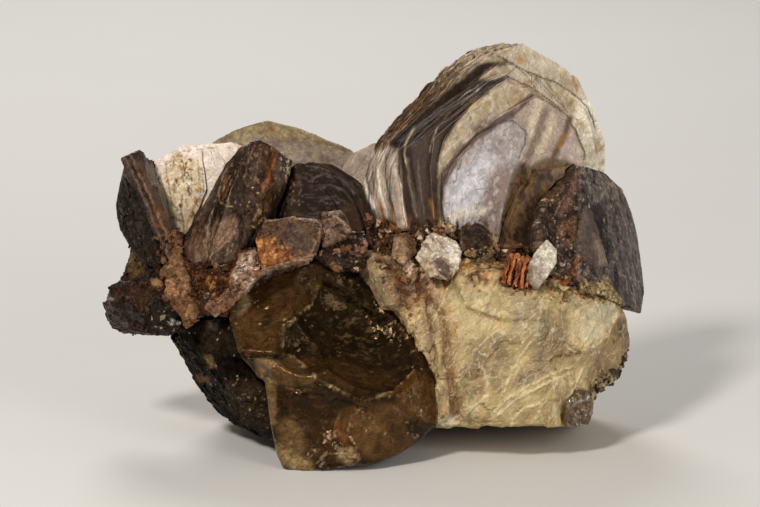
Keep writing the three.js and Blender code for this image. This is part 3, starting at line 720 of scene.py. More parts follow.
def mica_finish(name, gloss):
    """Books of mica: faces with growth lines and cracks, pearly where the paint says so, and
    edges with lines finer than the modelled sheets."""
    f = Finish(name, Specular_IOR_Level=gloss, IOR=1.56, Specular_Tint=WARM)
    leaf = f.attribute("leaf").outputs["Vector"]
    rings = f.attribute("rings").outputs["Vector"]
    edge = f.attribute("edge").outputs["Fac"]
    lines = f.grain(1, 6, (9, 9, 1.3), space=leaf, unit=1)
    growth = f.grain(1, 4, (0.32, 7, 7), space=rings, unit=1, twist=0.2)
    clouds = f.grain(1.6, 7, (1, 1, 0.3), space=leaf, unit=1, twist=0.8)
    fine = f.grain(0.4, 3)
    cracks = f.seams(4.5, (1, 1.5, 0.2), space=leaf, unit=1)
    cracks = f.times(f.ranged(cracks, 0.004, 0.02, 1.0, 0.0), f.ranged(clouds, 0.5, 0.56))
    lined = f.plus(f.times(f.ranged(lines, 0.36, 0.64, -0.65, 1.0), edge), 1.0)
    shade = f.times(lined, f.varied(clouds, 0.7, 1.28))
    shade = f.times(shade, f.varied(growth, 0.9, 1.1))
    shade = f.times(shade, f.varied(fine, 0.84, 1.16))
    tone = f.shaded(shade)
    tone = f.blend(tone, (*colour(78, 58, 42), 1), f.times(cracks, 0.7))
    height = f.plus(f.plus(clouds, f.times(growth, 0.5)), f.times(lines, 0.6))
    normal = f.bump(height, 0.16, 0.7)
    roughness = f.plus(f.ranged(f.shine, 0, 1, 0.5, 0.24), f.varied(clouds, -0.08, 0.12))
    roughness = f.plus(roughness, f.times(edge, 0.15))
    return f.finish(Base_Color=tone, Roughness=roughness, Normal=normal)


def blade_finish(name, contrast):
    """Dark books seen along their sheets: fine upright lines and bright flakes painted as glints,
    fainter where the paint's alpha marks a smooth face."""
    f = Finish(name, Specular_IOR_Level=0.25, IOR=1.56, Specular_Tint=WARM)
    lines = f.grain(0.4, 5, (1, 1, 9), turn=(0, -6, 0))
    clouds = f.grain(1.6, 7, twist=0.6)
    glint_flakes = f.ranged(f.grain(0.3, 2, (1, 1, 2)), 0.6, 0.7)
    lined = f.ranged(lines, 0.34, 0.66, 1 - 0.5 * contrast, 1 + 0.6 * contrast)
    shade = f.times(lined, f.ranged(clouds, 0.32, 0.68, 0.5, 1.5))
    shade = f.plus(shade, f.times(glint_flakes, 1.1))
    uneven = f.ranged(f.shine, 0, 1, 1.0, 0.5)
    tone = f.blend(f.painted, f.shaded(shade), uneven)
    normal = f.bump(f.plus(lines, f.grain(0.5, 4)), 0.16, 0.7)
    normal = f.glitter(normal, 0.55, 0.3)
    return f.finish(Base_Color=tone, Roughness=f.varied(clouds, 0.26, 0.46), Normal=normal)


def scaly_mica_finish(name, gloss, contrast, dullness=0.0):
    """Fine-grained mica: small glinting scales and painted glints, with darker seams between them."""
    f = Finish(name, Specular_IOR_Level=gloss, IOR=1.56, Specular_Tint=WARM)
    patches = f.grain(1.3, 7, twist=0.6)
    scales = f.cells(0.7, "Distance")
    glint_flakes = f.ranged(f.grain(0.32, 2), 0.62, 0.72)
    shade = f.varied(patches, 1 - contrast, 1 + contrast)
    shade = f.times(shade, f.ranged(scales, 0.0, 0.6, 1.2, 0.75))
    shade = f.plus(shade, f.times(glint_flakes, 0.9))
    tone = f.shaded(shade)
    normal = f.bump(f.plus(f.grain(0.45, 5), scales), 0.22, 0.7)
    normal = f.glitter(normal, 0.5, 0.4)
    roughness = f.varied(patches, 0.22 + dullness, 0.45 + dullness)
    return f.finish(Base_Color=tone, Roughness=roughness, Normal=normal)


def quartz_finish():
    """Smoky quartz: brown glass that lets a little light in, with ripples and pale wisps."""
    f = Finish("smoky_quartz", IOR=1.54, Transmission_Weight=0.15, Specular_IOR_Level=0.45,
               Specular_Tint=BROWN)
    veils = f.grain(3.0, 7, twist=1.2)
    fine = f.grain(0.45, 5, (1.6, 1, 0.7))
    threads = f.grain(1.3, 6, (1.6, 1, 0.7), twist=2.0)
    near = f.maths("ABSOLUTE", f.maths("SUBTRACT", threads, 0.5), 0.0)
    wisps = f.times(f.ranged(near, 0.0, 0.012, 1.0, 0.0), f.ranged(veils, 0.42, 0.6))
    shade = f.times(f.varied(veils, 0.5, 1.6), f.varied(fine, 0.6, 1.4))
    tone = f.shaded(shade)
    tone = f.blend(tone, (*colour(128, 100, 64), 1), f.times(wisps, 0.55))
    normal = f.bump(f.plus(f.grain(0.9, 6), f.times(wisps, 0.5)), 0.1, 0.8)
    normal = f.glitter(normal, 0.5, 0.14)
    return f.finish(Base_Color=tone, Roughness=f.varied(veils, 0.08, 0.3), Normal=normal)


def clear_finish():
    """Clear quartz: see-through, and tinted by its painted colour."""
    f = Finish("clear_quartz", IOR=1.54, Transmission_Weight=0.85, Roughness=0.06)
    tone = f.shaded(f.varied(f.grain(1.2, 6), 0.5, 1.3))
    normal = f.glitter(f.bump(f.grain(1.2, 5), 0.3, 0.6), 0.8, 0.3)
    return f.finish(Base_Color=tone, Normal=normal)


def feldspar_finish():
    """Cream feldspar: a mosaic of waxy grains with a net of pale cracks that climb right, weaker
    where the paint's alpha marks a stain."""
    f = Finish("feldspar", IOR=1.53, Specular_IOR_Level=0.35, Subsurface_Weight=0.15,
               Subsurface_Scale=MM, Subsurface_Radius=(1.6, 1.2, 0.7))
    slant = (0, -42, 0)
    warp = f.blend(f.space, f.noise_colour(3), 0.004, "ADD")
    large = f.seams(3.6, (0.8, 1, 2.2), slant, warp)
    small = f.seams(1.3, (0.8, 1, 1.8), slant, warp)
    grains = f.cells(1.3, stretch=(0.8, 1, 1.8), turn=slant, space=warp)
    blocks = f.cells(2.6, stretch=(0.9, 1, 1.5), turn=(0, -20, 0), space=warp)
    joints = f.seams(2.6, (0.9, 1, 1.5), (0, -20, 0), warp)
    streaks = f.grain(1.2, 7, (0.8, 1.2, 3.6), turn=slant, twist=0.5)
    fine = f.grain(0.4, 5)
    shade = f.times(f.varied(streaks, 0.82, 1.14), f.ranged(grains, 0, 1, 0.88, 1.1))
    shade = f.times(shade, f.ranged(blocks, 0.1, 0.9, 0.76, 1.2))
    shade = f.times(shade, f.varied(fine, 0.9, 1.1))
    tone = f.shaded(shade)
    veins = f.times(f.ranged(large, 0.0, 0.04, 1.0, 0.0), f.ranged(streaks, 0.4, 0.52))
    threads = f.times(f.ranged(small, 0.0, 0.05, 0.6, 0.0), f.ranged(fine, 0.4, 0.56))
    parallel = f.ranged(f.grain(0.5, 3, (1, 1, 12), turn=(0, -52, 0)), 0.6, 0.68)
    parallel = f.times(parallel, f.ranged(streaks, 0.46, 0.6, 0.0, 0.35))
    unstained = f.ranged(f.shine, 0, 1, 1.0, 0.15)
    joints = f.times(f.ranged(joints, 0.0, 0.035, 0.7, 0.0), f.ranged(fine, 0.36, 0.52))
    pale = f.times(f.plus(f.plus(f.plus(veins, threads), parallel), joints), unstained)
    tone = f.blend(tone, (*colour(226, 210, 172), 1), f.times(pale, 0.5))
    height = f.plus(f.plus(streaks, f.times(grains, 0.6)), f.times(fine, 0.4))
    normal = f.bump(f.plus(height, f.times(veins, 0.5)), 0.16, 0.65)
    return f.finish(Base_Color=tone, Roughness=f.varied(fine, 0.3, 0.52), Normal=normal)


def floor_finish():
    f = Finish("pale_floor", Roughness=0.7)
    tone = f.blend((0.74, 0.735, 0.72, 1), (0.78, 0.775, 0.76, 1), f.grain(60, 3))
    return f.finish(Base_Color=tone)


MICA = mica_finish("mica_sheets", 0.3)
DARK_MICA = mica_finish("dark_mica_sheets", 0.1)
STRIATED_MICA = blade_finish("striated_mica", 1.0)
FLUTED_MICA = blade_finish("fluted_mica", 0.45)
SCALY_MICA = scaly_mica_finish("scaly_mica", 0.24, 0.55)
BLACK_QUARTZ = scaly_mica_finish("black_quartz", 0.04, 0.7, 0.2)
QUARTZ = quartz_finish()
CLEAR_QUARTZ = clear_finish()
FELDSPAR = feldspar_finish()


# Mica books


# Where each book's own frame starts in the display frame, how far its face turns and leans
# back in degrees, and, if not the usual, how far its sheets wave
TALL = {"origin": np.array([19.8, 5, 52]), "turn": 38, "lean": -5, "waves": 0.2}
PALE = {"origin": np.array([-34.4, 3, 54]), "turn": -18, "lean": 4}
ROUND = {"origin": np.array([-12.3, -2, 51]), "turn": -15, "lean": 8}
REAR = {"origin": np.array([-16.5, 14, 56]), "turn": 8, "lean": 22}
SADDLE = {"origin": np.array([-2.3, 9, 56]), "turn": -14, "lean": 8}

# The rough, weathered ends of the tall book's sheets
BARK = [
    (368, 142), (398, 100), (436, 66), (472, 40), (526, 40), (504, 52), (478, 64), (456, 83),
    (430, 105), (402, 130), (382, 150), (372, 152),
]

TALL_RIM = [
    (470, 40), (530, 36), (610, 80), (615, 185), (580, 172), (582, 150), (565, 112), (529, 86),
    (508, 77), (483, 78), (490, 62), (500, 52),
]

YELLOW_FACE = [
    (438, 164), (445, 143), (456, 125), (469, 110), (484, 97), (495, 88), (506, 81), (518, 83),
    (533, 92), (538, 97), (520, 107), (498, 122), (478, 133), (460, 150), (446, 172), (438, 176),
]

BROWN_PIECE = [
    (498, 252), (500, 230), (505, 205), (511, 184), (517, 168), (524, 163), (533, 166), (547, 157),
    (568, 162), (577, 168), (560, 200), (552, 236), (546, 254), (520, 258),
]

# The tall book's front, from the back sheets to the raised piece: tone, soft edge, outline
TALL_ZONES = [
    ((200, 187, 165), 2, TALL_RIM),
    ((238, 228, 206), 8, [(574, 100), (604, 92), (615, 185), (580, 176), (582, 150), (572, 124)]),
    # Risers between the bark and the yellow face
    ((46, 35, 31), 3, [
        (380, 150), (402, 130), (430, 105), (456, 83), (478, 64), (505, 60), (507, 78), (486, 96),
        (459, 121), (446, 143), (439, 172), (436, 250), (360, 250), (360, 160),
    ]),
    ((50, 39, 34), 2, [
        (381, 152), (392, 138), (407, 124), (435, 100), (450, 88), (465, 74), (478, 65), (492, 61),
        (508, 61), (507, 66), (490, 70), (468, 86), (450, 100), (430, 115), (415, 128), (402, 143),
        (396, 152),
    ]),
    ((70, 57, 52), 2, [
        (400, 152), (414, 140), (440, 118), (458, 103), (478, 88), (500, 76), (512, 77), (508, 82),
        (492, 87), (472, 101), (455, 117), (442, 133), (437, 152), (436, 190), (439, 222), (430, 226),
        (414, 222), (409, 190), (408, 165),
    ]),
    ((176, 160, 132), 2, [
        (480, 79), (490, 70), (503, 65), (516, 67), (509, 75), (496, 79),
    ]),
    # Pale blades at the left
    ((168, 154, 140), 3, [
        (362, 150), (378, 144), (398, 150), (401, 180), (408, 236), (384, 236), (372, 205), (360, 180),
    ]),
    ((178, 162, 136), 2, YELLOW_FACE),
    # Dark band round the silver sheet
    ((84, 70, 66), 2, [
        (440, 174), (452, 157), (463, 143), (475, 131), (488, 123), (502, 117), (516, 107), (530, 95),
        (538, 96), (526, 107), (514, 119), (504, 124), (492, 132), (478, 143), (463, 156), (454, 168),
        (448, 186), (446, 220), (439, 216),
    ]),
    ((122, 108, 102), 5, [
        (452, 160), (464, 140), (476, 126), (490, 115), (502, 113), (492, 123), (478, 134), (466, 147),
    ]),
    # Grey sheet right of the silver one, with its beige and lilac parts
    ((168, 151, 138), 2, [
        (537, 95), (552, 104), (566, 114), (576, 132), (585, 152), (584, 168), (566, 163), (548, 158),
        (534, 166), (521, 170), (514, 164), (522, 146), (526, 132), (513, 119), (524, 107),
    ]),
    ((206, 190, 164), 3, [
        (536, 99), (544, 102), (538, 122), (530, 145), (522, 160), (519, 150), (527, 130),
    ]),
    ((198, 182, 156), 3, [(551, 112), (558, 116), (548, 142), (538, 160), (534, 156), (543, 134)]),
    ((184, 167, 156), 3, [(566, 132), (575, 138), (583, 158), (582, 166), (566, 160), (556, 154)]),
    ((134, 116, 102), 3, [(543, 106), (550, 110), (541, 136), (529, 162), (526, 154), (536, 128)]),
    # Silver sheet: pearly, with painted sheen brightest at the lower left, darker violet at the lower
    # right
    ((172, 164, 164), 2, [
        (443, 222), (445, 190), (452, 170), (463, 156), (478, 143), (492, 132), (504, 123), (512, 121),
        (527, 132), (526, 142), (518, 162), (510, 185), (503, 208), (498, 232), (480, 226), (458, 232),
    ]),
    ((160, 149, 146), 8, [(470, 144), (492, 132), (510, 121), (527, 132), (520, 158), (496, 156)]),
    ((136, 118, 110), 6, [
        (486, 178), (500, 168), (518, 164), (510, 190), (502, 215), (498, 236), (478, 226), (484, 200),
    ]),
    # Painted bluish-white reflection, brightest at the lower left
    ((206, 205, 211), 9, [
        (449, 212), (452, 190), (462, 172), (478, 158), (492, 158), (486, 180), (474, 208),
    ]),
    ((218, 208, 194), 4, [(446, 226), (450, 212), (468, 206), (488, 208), (484, 216), (462, 220)]),
    # Glassy brown piece at the lower right
    ((82, 61, 48), 4, BROWN_PIECE),
    ((122, 102, 82), 5, [
        (518, 166), (532, 168), (547, 159), (566, 162), (574, 168), (556, 178), (530, 180),
    ]),
    ((104, 80, 56), 5, [
        (516, 180), (526, 168), (536, 172), (528, 200), (514, 236), (506, 240), (510, 208),
    ]),
    ((66, 50, 42), 4, [(536, 175), (548, 166), (544, 196), (528, 236), (520, 240), (526, 205)]),
]

SILVER = [
    (444, 222), (446, 190), (453, 170), (464, 156), (492, 132), (510, 122), (527, 132), (515, 170),
    (498, 232),
]

# Rusty and yellow stains on the tall book: tone, radius, place
TALL_STAINS = [
    ((176, 136, 84), 10, (520, 58)),
    ((164, 130, 78), 11, (516, 97)),
    ((160, 138, 90), 11, (554, 90)),
    ((154, 134, 86), 11, (569, 102)),
    ((176, 130, 80), 6, (573, 111)),
    ((170, 148, 104), 11, (579, 127)),
    ((166, 142, 96), 12, (597, 147)),
    ((178, 138, 96), 6, (525, 82)),
    ((168, 140, 106), 9, (560, 73)),
    ((166, 144, 96), 14, (478, 106)),
]

# Thin marks on the tall book: tone, half-width, path
TALL_MARKS = [
    ((64, 50, 42), 1.4, [(497, 55), (510, 63), (530, 73), (556, 82), (578, 97), (588, 108), (596, 128)]),
    ((82, 66, 56), 1.4, [
        (508, 77), (529, 86), (547, 98), (565, 112), (575, 130), (585, 153), (584, 165),
    ]),
    ((96, 80, 68), 1.0, [(535, 95), (550, 103), (564, 114)]),
    ((92, 74, 62), 1.0, [(535, 88), (527, 76), (516, 67), (506, 76)]),
    ((70, 58, 52), 1.2, [(503, 121), (513, 121), (526, 131), (525, 141), (519, 158)]),
    ((70, 56, 52), 1.2, [(462, 160), (457, 172), (456, 180), (452, 190)]),
    ((96, 78, 62), 6, [(570, 118), (566, 132), (558, 148), (552, 160)]),
    ((150, 104, 56), 5, [(565, 136), (559, 146)]),
    ((96, 78, 66), 0.9, [(536, 77), (550, 92), (564, 108)]),
    ((104, 86, 72), 0.8, [(544, 79), (556, 94), (567, 112)]),
    ((104, 86, 72), 0.8, [(530, 73), (541, 86), (553, 99)]),
    ((156, 126, 100), 3.0, [(573, 78), (577, 90)]),
    ((150, 116, 74), 2.0, [(500, 246), (514, 245), (528, 248), (538, 243)]),
    ((122, 96, 66), 1.6, [(530, 170), (520, 200), (508, 238)]),
    ((96, 80, 76), 5.0, [(450, 172), (462, 152), (480, 134), (498, 119)]),
    ((112, 94, 86), 3.0, [(500, 118), (516, 106), (532, 95)]),
    ((186, 170, 150), 1.0, [(457, 164), (468, 151), (480, 140)]),
    ((176, 158, 140), 1.0, [(458, 100), (468, 92), (478, 86)]),
    ((166, 148, 130), 0.9, [(462, 104), (472, 95), (480, 89)]),
    ((232, 222, 206), 3.2, [(375, 146), (366, 160), (362, 173), (368, 192), (374, 208)]),
    ((86, 72, 62), 1.2, [(377, 150), (370, 163), (366, 178), (372, 196)]),
    ((230, 220, 202), 2.2, [(377, 168), (380, 190), (386, 210), (392, 228)]),
    ((204, 188, 176), 4.4, [(391, 150), (395, 172), (401, 200), (406, 234)]),
    ((92, 76, 68), 1.6, [(386, 156), (385, 176), (390, 200), (397, 232)]),
    ((110, 94, 84), 1.2, [(373, 160), (372, 180), (380, 204), (386, 230)]),
    ((214, 196, 176), 1.4, [(383, 212), (386, 228)]),
    ((150, 98, 52), 3.0, [(380, 204), (386, 222), (388, 234)]),
    ((56, 45, 40), 1.8, [(399, 152), (400, 175), (405, 200), (411, 234)]),
    ((188, 170, 142), 1.8, [(414, 128), (406, 142), (404, 154), (409, 172)]),
    ((178, 162, 140), 1.2, [(438, 126), (432, 140), (430, 152)]),
    ((132, 117, 106), 2.6, [(407, 158), (409, 176), (412, 196), (416, 216)]),
    ((112, 98, 90), 1.0, [(418, 160), (420, 184), (424, 214)]),
    ((124, 108, 96), 1.0, [(470, 96), (452, 110), (440, 124)]),
    ((214, 200, 172), 1.4, [(440, 160), (450, 148), (462, 137)]),
    ((150, 130, 116), 1.0, [(455, 160), (468, 148), (482, 137)]),
    ((120, 82, 44), 4.0, [(430, 200), (434, 216)]),
    ((128, 88, 50), 3.0, [(392, 206), (394, 226), (403, 236)]),
]


def number_by_sheet(book):
    """A number from 0 to 1 for every sheet, one for each of its four parts about a corner."""
    corner, beyond_book = 9, 900
    cell = np.floor((book.leaf + corner) / [beyond_book, beyond_book, SHEET])
    return scrambled(cell.astype(np.int64), 8)


def tall_faces(book):
    """The faces' own tones, the silver sheet's painted sheen, yellow mottling, fine cracks, stains and
    marks.
    """
    book.zones(TALL_ZONES)
    ochre = book.within(TALL_RIM, 3) + book.within(YELLOW_FACE, 3)
    book.specks((166, 142, 96), (1.6, 1.6, 2.4), 0.16, ochre * book.front, seed=3, share=0.45, turn=35)
    book.specks((214, 202, 184), (1.4, 1.4, 2.6), 0.36, ochre * book.front, seed=5, share=0.5, turn=35)
    book.paint((106, 86, 62), book.cracks((3, 3, 4), 0.955, 0.02) * (1 - book.edge) * 0.6)
    blotched = smooth(0.7 + rough(book.points, 1.2, 3, 63))
    for tone, radius, place in TALL_STAINS:
        book.stroke([place, np.add(place, 1)], tone, radius, 0.9 * blotched)
    book.strokes(TALL_MARKS)


def silver_sheen(book):
    """The pearly sheet, finely mottled with specks of painted bluish sheen and darker specks."""
    silver = book.patch(SILVER, 4)
    book.shine = silver
    book.specks((224, 222, 228), (1.4, 1.4, 2), 0.3, silver, seed=21, share=0.35, turn=40)
    book.specks((150, 134, 128), (1.0, 1.2, 1.6), 0.22, silver, seed=23, share=0.4, turn=40)


def brown_piece(book):
    """The glassy brown piece, with golden streaks that lean over."""
    golden = book.patch(BROWN_PIECE, 2)
    slanted = book.points @ rotation(-24)
    streaks = smooth((rough(slanted, (0.7, 1, 3.5), 3, 61) - 0.1) / 0.2)
    book.paint((118, 88, 52), golden * streaks * 0.55)
    book.specks((40, 29, 24), 1.3, 0.25, golden, seed=25, share=0.8)


def bark_edge(book):
    """The weathered ends of the sheets behind, brown at the left and pale at the top."""
    behind = smooth((12 - book.leaf[:, 2]) / 3)
    bark = book.within(BARK, 2.5) * behind
    upper = book.right_of(420, 40)
    top = book.right_of(456, 26)
    book.paint((78, 61, 44), bark)
    book.paint((150, 132, 108), bark * upper * 0.8)
    book.paint((196, 180, 158), bark * top * 0.8)
    pale_bark = bark * (0.3 + 0.7 * upper)
    book.specks((206, 186, 156), (0.4, 0.6, 2.0), 0.3, pale_bark, seed=7, share=0.85, turn=48)
    book.specks((50, 39, 31), (0.4, 0.6, 1.8), 0.26, bark, seed=9, share=0.8, turn=48)
    book.specks((124, 82, 46), (0.8, 1.0, 2.4), 0.2, bark * (1 - upper), seed=11, turn=48)


def tall_book():
    def raggedness(at):
        return 0.25 + 0.8 * within(at, BARK, 5)

    book = sheets_of("tall_mica_book", TALL, raggedness, 11)
    by_sheet = number_by_sheet(book)
    book.paint((182, 165, 136), 1 - book.edge)
    book.specks((150, 126, 92), 4, 0.35, 1 - book.edge, seed=1, share=0.7)
    book.paint((92, 78, 68), book.edge)
    book.paint((150, 134, 116), book.edge * smooth(by_sheet * 5 - 3.4))
    tall_faces(book)
    silver_sheen(book)
    brown_piece(book)

    # Single sheets stand out on the risers
    riser = book.edge * book.front
    book.paint((128, 112, 102), riser * smooth(by_sheet * 6 - 4.7) * 0.6)
    book.shade(1 + riser * (by_sheet - 0.5) * 0.9)
    bark_edge(book)

    # Rust specks at the foot
    foot = book.below(212, 14) * book.left_of(500, 8)
    book.specks((118, 74, 40), 1.2, 0.4, foot * book.front, seed=13)
    book.specks((52, 38, 28), 1.4, 0.25, foot * book.front, seed=15)
    return book.build("tall_mica_book_sheets", "violet_grey_mica", MICA)


def pale_book():
    book = sheets_of("pale_mica_book", PALE, lambda at: 0.3, 21)
    book.paint((240, 226, 214), 1)
    book.paint((206, 188, 168), book.edge * 0.7)
    broken = [
        (158, 192), (163, 178), (166, 163), (178, 154), (188, 156), (198, 160), (202, 175), (204, 195),
        (196, 215), (188, 236), (172, 238), (158, 220),
    ]
    book.zone(broken, (226, 208, 176), 2)
    inner = book.patch(broken, 2)
    book.specks((240, 232, 216), 1.4, 0.35, inner, seed=2, share=0.8)
    book.specks((184, 146, 92), 1.1, 0.16, inner, seed=4)
    book.specks((104, 72, 44), (0.6, 0.6, 1.0), 0.07, inner, seed=8)
    book.paint((118, 90, 62), inner * book.cracks((1.6, 2, 2.2), 0.93, 0.03) * 0.7)
    book.zone([(160, 190), (172, 186), (176, 205), (170, 224), (160, 220)], (206, 190, 150), 4)
    low = [(160, 216), (182, 212), (204, 200), (192, 240), (172, 242)]
    book.zones([
        ((150, 118, 80), 5, low, 0.5),
        ((214, 204, 176), 2, [(168, 222), (178, 218), (184, 232), (176, 236)]),
    ])
    crack = (86, 58, 36)
    book.strokes([
        ((140, 110, 76), 1.0, [(181, 168), (183, 182)]),
        (crack, 1.4, [(182, 196), (181, 210), (184, 222), (184, 232)]),
        ((146, 124, 104), 0.9, [(191, 168), (192, 184), (191, 200)]),
        (crack, 1.2, [(204, 190), (199, 198), (194, 206)]),
        ((120, 96, 72), 0.9, [(192, 170), (184, 168), (182, 160)]),
        ((120, 96, 72), 0.9, [(166, 162), (167, 175), (169, 190), (172, 204)]),
        (crack, 1.5, [(162, 220), (174, 217), (182, 222)]),
        (crack, 1.5, [(172, 204), (178, 208)]),
        ((150, 128, 112), 0.9, [(198, 160), (199, 175), (200, 190)]),
        ((160, 138, 112), 0.8, [(202, 166), (203, 182), (204, 190)]),
        ((140, 106, 68), 1.0, [(194, 206), (188, 222), (186, 234)]),
        ((160, 140, 128), 0.8, [(170, 158), (182, 152), (208, 148), (232, 147)]),
    ])
    book.specks((120, 74, 38), 1.3, 0.2, book.patch(low, 4), seed=6)
    return book.build("pale_mica_book_sheets", "pale_mica", MICA)


# Scratch-like lines on the round book, painted bright as glints
ROUND_SCRATCH_GLINTS = [
    [(312, 182), (317, 176), (326, 174), (333, 179)],
    [(320, 200), (329, 204), (339, 202)],
    [(339, 177), (348, 184), (354, 194)],
    [(351, 184), (358, 195), (363, 207)],
    [(344, 168), (354, 177), (361, 188)],
    [(306, 166), (318, 167), (330, 172)],
    [(324, 188), (334, 186), (343, 191)],
    [(299, 180), (301, 189), (299, 196)],
    [(292, 178), (291, 188)],
    [(287, 190), (289, 201)],
    [(293, 196), (291, 206)],
    [(283, 203), (281, 214)],
]


def round_book():
    book = sheets_of("round_mica_book", ROUND, lambda at: 0.45, 31)
    book.paint((34, 26, 24), 1)
    book.specks((64, 50, 44), (2, 1, 0.8), 0.22, seed=1, share=0.8)
    book.specks((22, 16, 14), 2, 0.3, seed=3, share=0.8)
    book.zone([(282, 150), (300, 158), (300, 215), (282, 225)], (52, 36, 26), 5)
    for path in ROUND_SCRATCH_GLINTS:
        book.stroke(path, (138, 122, 114), 0.9, 0.6)
    sheen = (104, 90, 86)
    book.strokes([
        (sheen, 1.6, [(312, 178), (326, 174), (340, 178), (352, 190)], 0.7),
        (sheen, 1.4, [(316, 190), (330, 184), (344, 190), (354, 202)], 0.6),
        (sheen, 1.2, [(322, 200), (336, 196), (350, 206)], 0.6),
        ((84, 66, 56), 1.6, [(300, 160), (320, 164), (340, 174), (356, 190), (365, 210)], 0.7),
    ])
    book.zone([(345, 205), (368, 200), (372, 240), (350, 240)], (70, 46, 32), 5, 0.8)
    left_side = [(276, 176), (300, 166), (304, 214), (276, 216)]
    # Sparse pale specks at the left side, painted as sparkles
    book.specks((150, 134, 122), (0.3, 0.5, 0.9), 0.06, book.patch(left_side, 4), seed=5)
    book.specks((84, 68, 66), (2.4, 1, 0.5), 0.14, book.front, seed=7, share=0.7)
    book.shade(0.86)
    return book.build("round_mica_book_sheets", "dark_mica", DARK_MICA)


def rear_book():
    book = sheets_of("rear_mica_book", REAR, lambda at: 0.4, 41)
    book.paint((128, 112, 90), 1)
    book.zones([
        ((138, 122, 90), 4, [
            (206, 146), (232, 126), (268, 118), (298, 124), (300, 138), (262, 138), (228, 142),
        ]),
        ((146, 132, 122), 6, [(216, 142), (258, 138), (300, 144), (352, 150), (352, 175), (280, 160)]),
    ])
    book.specks((168, 150, 112), (1.6, 2, 0.8), 0.3, seed=2, share=0.65)
    book.specks((104, 90, 78), (1.6, 2, 0.7), 0.25, seed=4, share=0.6)
    book.strokes([
        ((186, 170, 136), 1.6, [
            (209, 142), (232, 128), (250, 123), (269, 120), (288, 125), (310, 133), (342, 146),
        ]),
        ((96, 82, 70), 1.0, [(228, 130), (252, 124), (268, 121)]),
        ((130, 84, 44), 2.4, [(270, 129), (274, 131)]),
    ])
    book.paint((92, 80, 68), book.edge * 0.6)
    return book.build("rear_mica_book_sheets", "violet_grey_mica", MICA)


def saddle_book():
    book = sheets_of("saddle_mica_book", SADDLE, lambda at: 0.35, 51)
    book.paint((174, 157, 144), 1)
    book.specks((146, 130, 120), 1.5, 0.35, seed=2, share=0.7)
    book.strokes([
        ((204, 188, 174), 1.6, [(350, 165), (358, 152), (370, 143)]),
        ((124, 108, 98), 1.2, [(352, 176), (360, 165), (366, 156)]),
    ])
    return book.build("saddle_mica_book_sheets", "violet_grey_mica", MICA)


# The right book: the smooth raised blade, and the dark side towards the tall book
BLADE = [(583, 207), (588, 216), (596, 242), (605, 268), (592, 270), (580, 262), (576, 240), (579, 220)]
FLANK = [(540, 160), (579, 166), (579, 205), (577, 290), (535, 290), (530, 240)]


def carve_right_book(book):
    upright = -0.28 * ridged(book.points, (0.8, 2.5, 10), 3, 5)
    book.push(upright * (1 - 0.8 * book.within(BLADE, 3)))
    book.push(-0.35 * chipped(book.points, (3, 3, 8), 6) * book.within(FLANK, 6))
    book.groove([(578, 168), (579, 190), (577, 205)], 3, 0.35)
    book.groove([(608, 268), (596, 240), (587, 212)], 2, 0.6)
    book.lift(BLADE, 0.9, 1.2)
    book.lift([(534, 190), (548, 184), (544, 252), (530, 252)], 1.2, 4)


def striated_face(book):
    """The front, with painted highlights along the rims at the right, and dark upright streaks."""
    book.specks((54, 47, 47), (1.0, 2, 4), 0.35, seed=1, share=0.85)
    book.specks((122, 110, 100), (0.6, 1, 2.4), 0.16, seed=3, share=0.8)
    book.zones([
        ((104, 95, 84), 6, [(582, 172), (604, 174), (620, 188), (612, 204), (590, 200)], 0.7),
        ((40, 34, 35), 4, [(586, 205), (602, 203), (612, 252), (604, 262)], 0.9),
        ((92, 82, 82), 5, [(612, 200), (626, 196), (640, 250), (640, 300), (624, 270)], 0.5),
    ])
    # Pale lines of painted highlight along the rims at the right
    book.strokes([
        ((142, 128, 112), 1.6, [(620, 187), (630, 210), (637, 240), (641, 270), (643, 292)]),
        ((126, 113, 104), 1.2, [(614, 196), (626, 232), (633, 268), (635, 290)]),
        ((136, 124, 116), 1.0, [(618, 274), (630, 279), (640, 283)]),
        ((122, 110, 90), 1.6, [(600, 196), (610, 184), (618, 178)]),
    ])
    book.specks((30, 26, 27), (0.5, 1, 5), 0.22, 1 - book.within(BLADE, 2), seed=17, share=0.8)
    book.specks((150, 138, 126), (0.35, 0.6, 1.6), 0.05, book.front, seed=19, share=0.8)


def dark_side(book):
    """The side towards the tall book, dark with rust and pale chips low down."""
    side = book.patch(FLANK, 3)
    book.zone(FLANK, (48, 37, 32), 3)
    book.specks((84, 64, 50), (1, 2, 2), 0.22, side, seed=7)
    book.specks((36, 27, 26), (1, 2, 4), 0.3, side, seed=9)
    book.zones([
        ((92, 68, 58), 2, [
            (576, 167), (580, 172), (578, 190), (572, 204), (562, 218), (558, 214), (568, 192),
        ]),
        ((98, 70, 46), 4, [(561, 222), (577, 216), (578, 250), (572, 252), (560, 238)], 0.8),
        ((76, 56, 40), 4, [(556, 166), (572, 168), (560, 190), (548, 206), (540, 206)], 0.7),
    ])
    book.strokes([
        ((158, 126, 84), 1.2, [(533, 212), (543, 204), (553, 200)]),
        ((130, 100, 74), 1.0, [(552, 220), (560, 204), (566, 196)]),
    ])
    low = book.patch([(540, 245), (580, 245), (580, 292), (540, 292)], 5)
    book.specks((176, 156, 144), (0.7, 0.8, 1.2), 0.12, low, seed=11, share=0.8)
    book.specks((160, 140, 122), (0.4, 0.6, 1.4), 0.06, side, seed=15, share=0.7, turn=20)
    book.specks((128, 86, 50), 1.4, 0.2, low, seed=13)


def smooth_blade(book):
    """The raised blade in the middle, smooth and pale at its right edge."""
    book.shine = book.patch(BLADE, 2)
    book.zones([
        ((80, 68, 63), 1.5, BLADE),
        ((124, 107, 95), 3, [(588, 235), (597, 246), (604, 266), (594, 268)]),
    ])
    book.strokes([
        ((156, 138, 122), 1.2, [(585, 208), (592, 226), (599, 248), (605, 268)]),
        ((36, 29, 28), 1.6, [(582, 208), (578, 222), (577, 244)]),
    ])


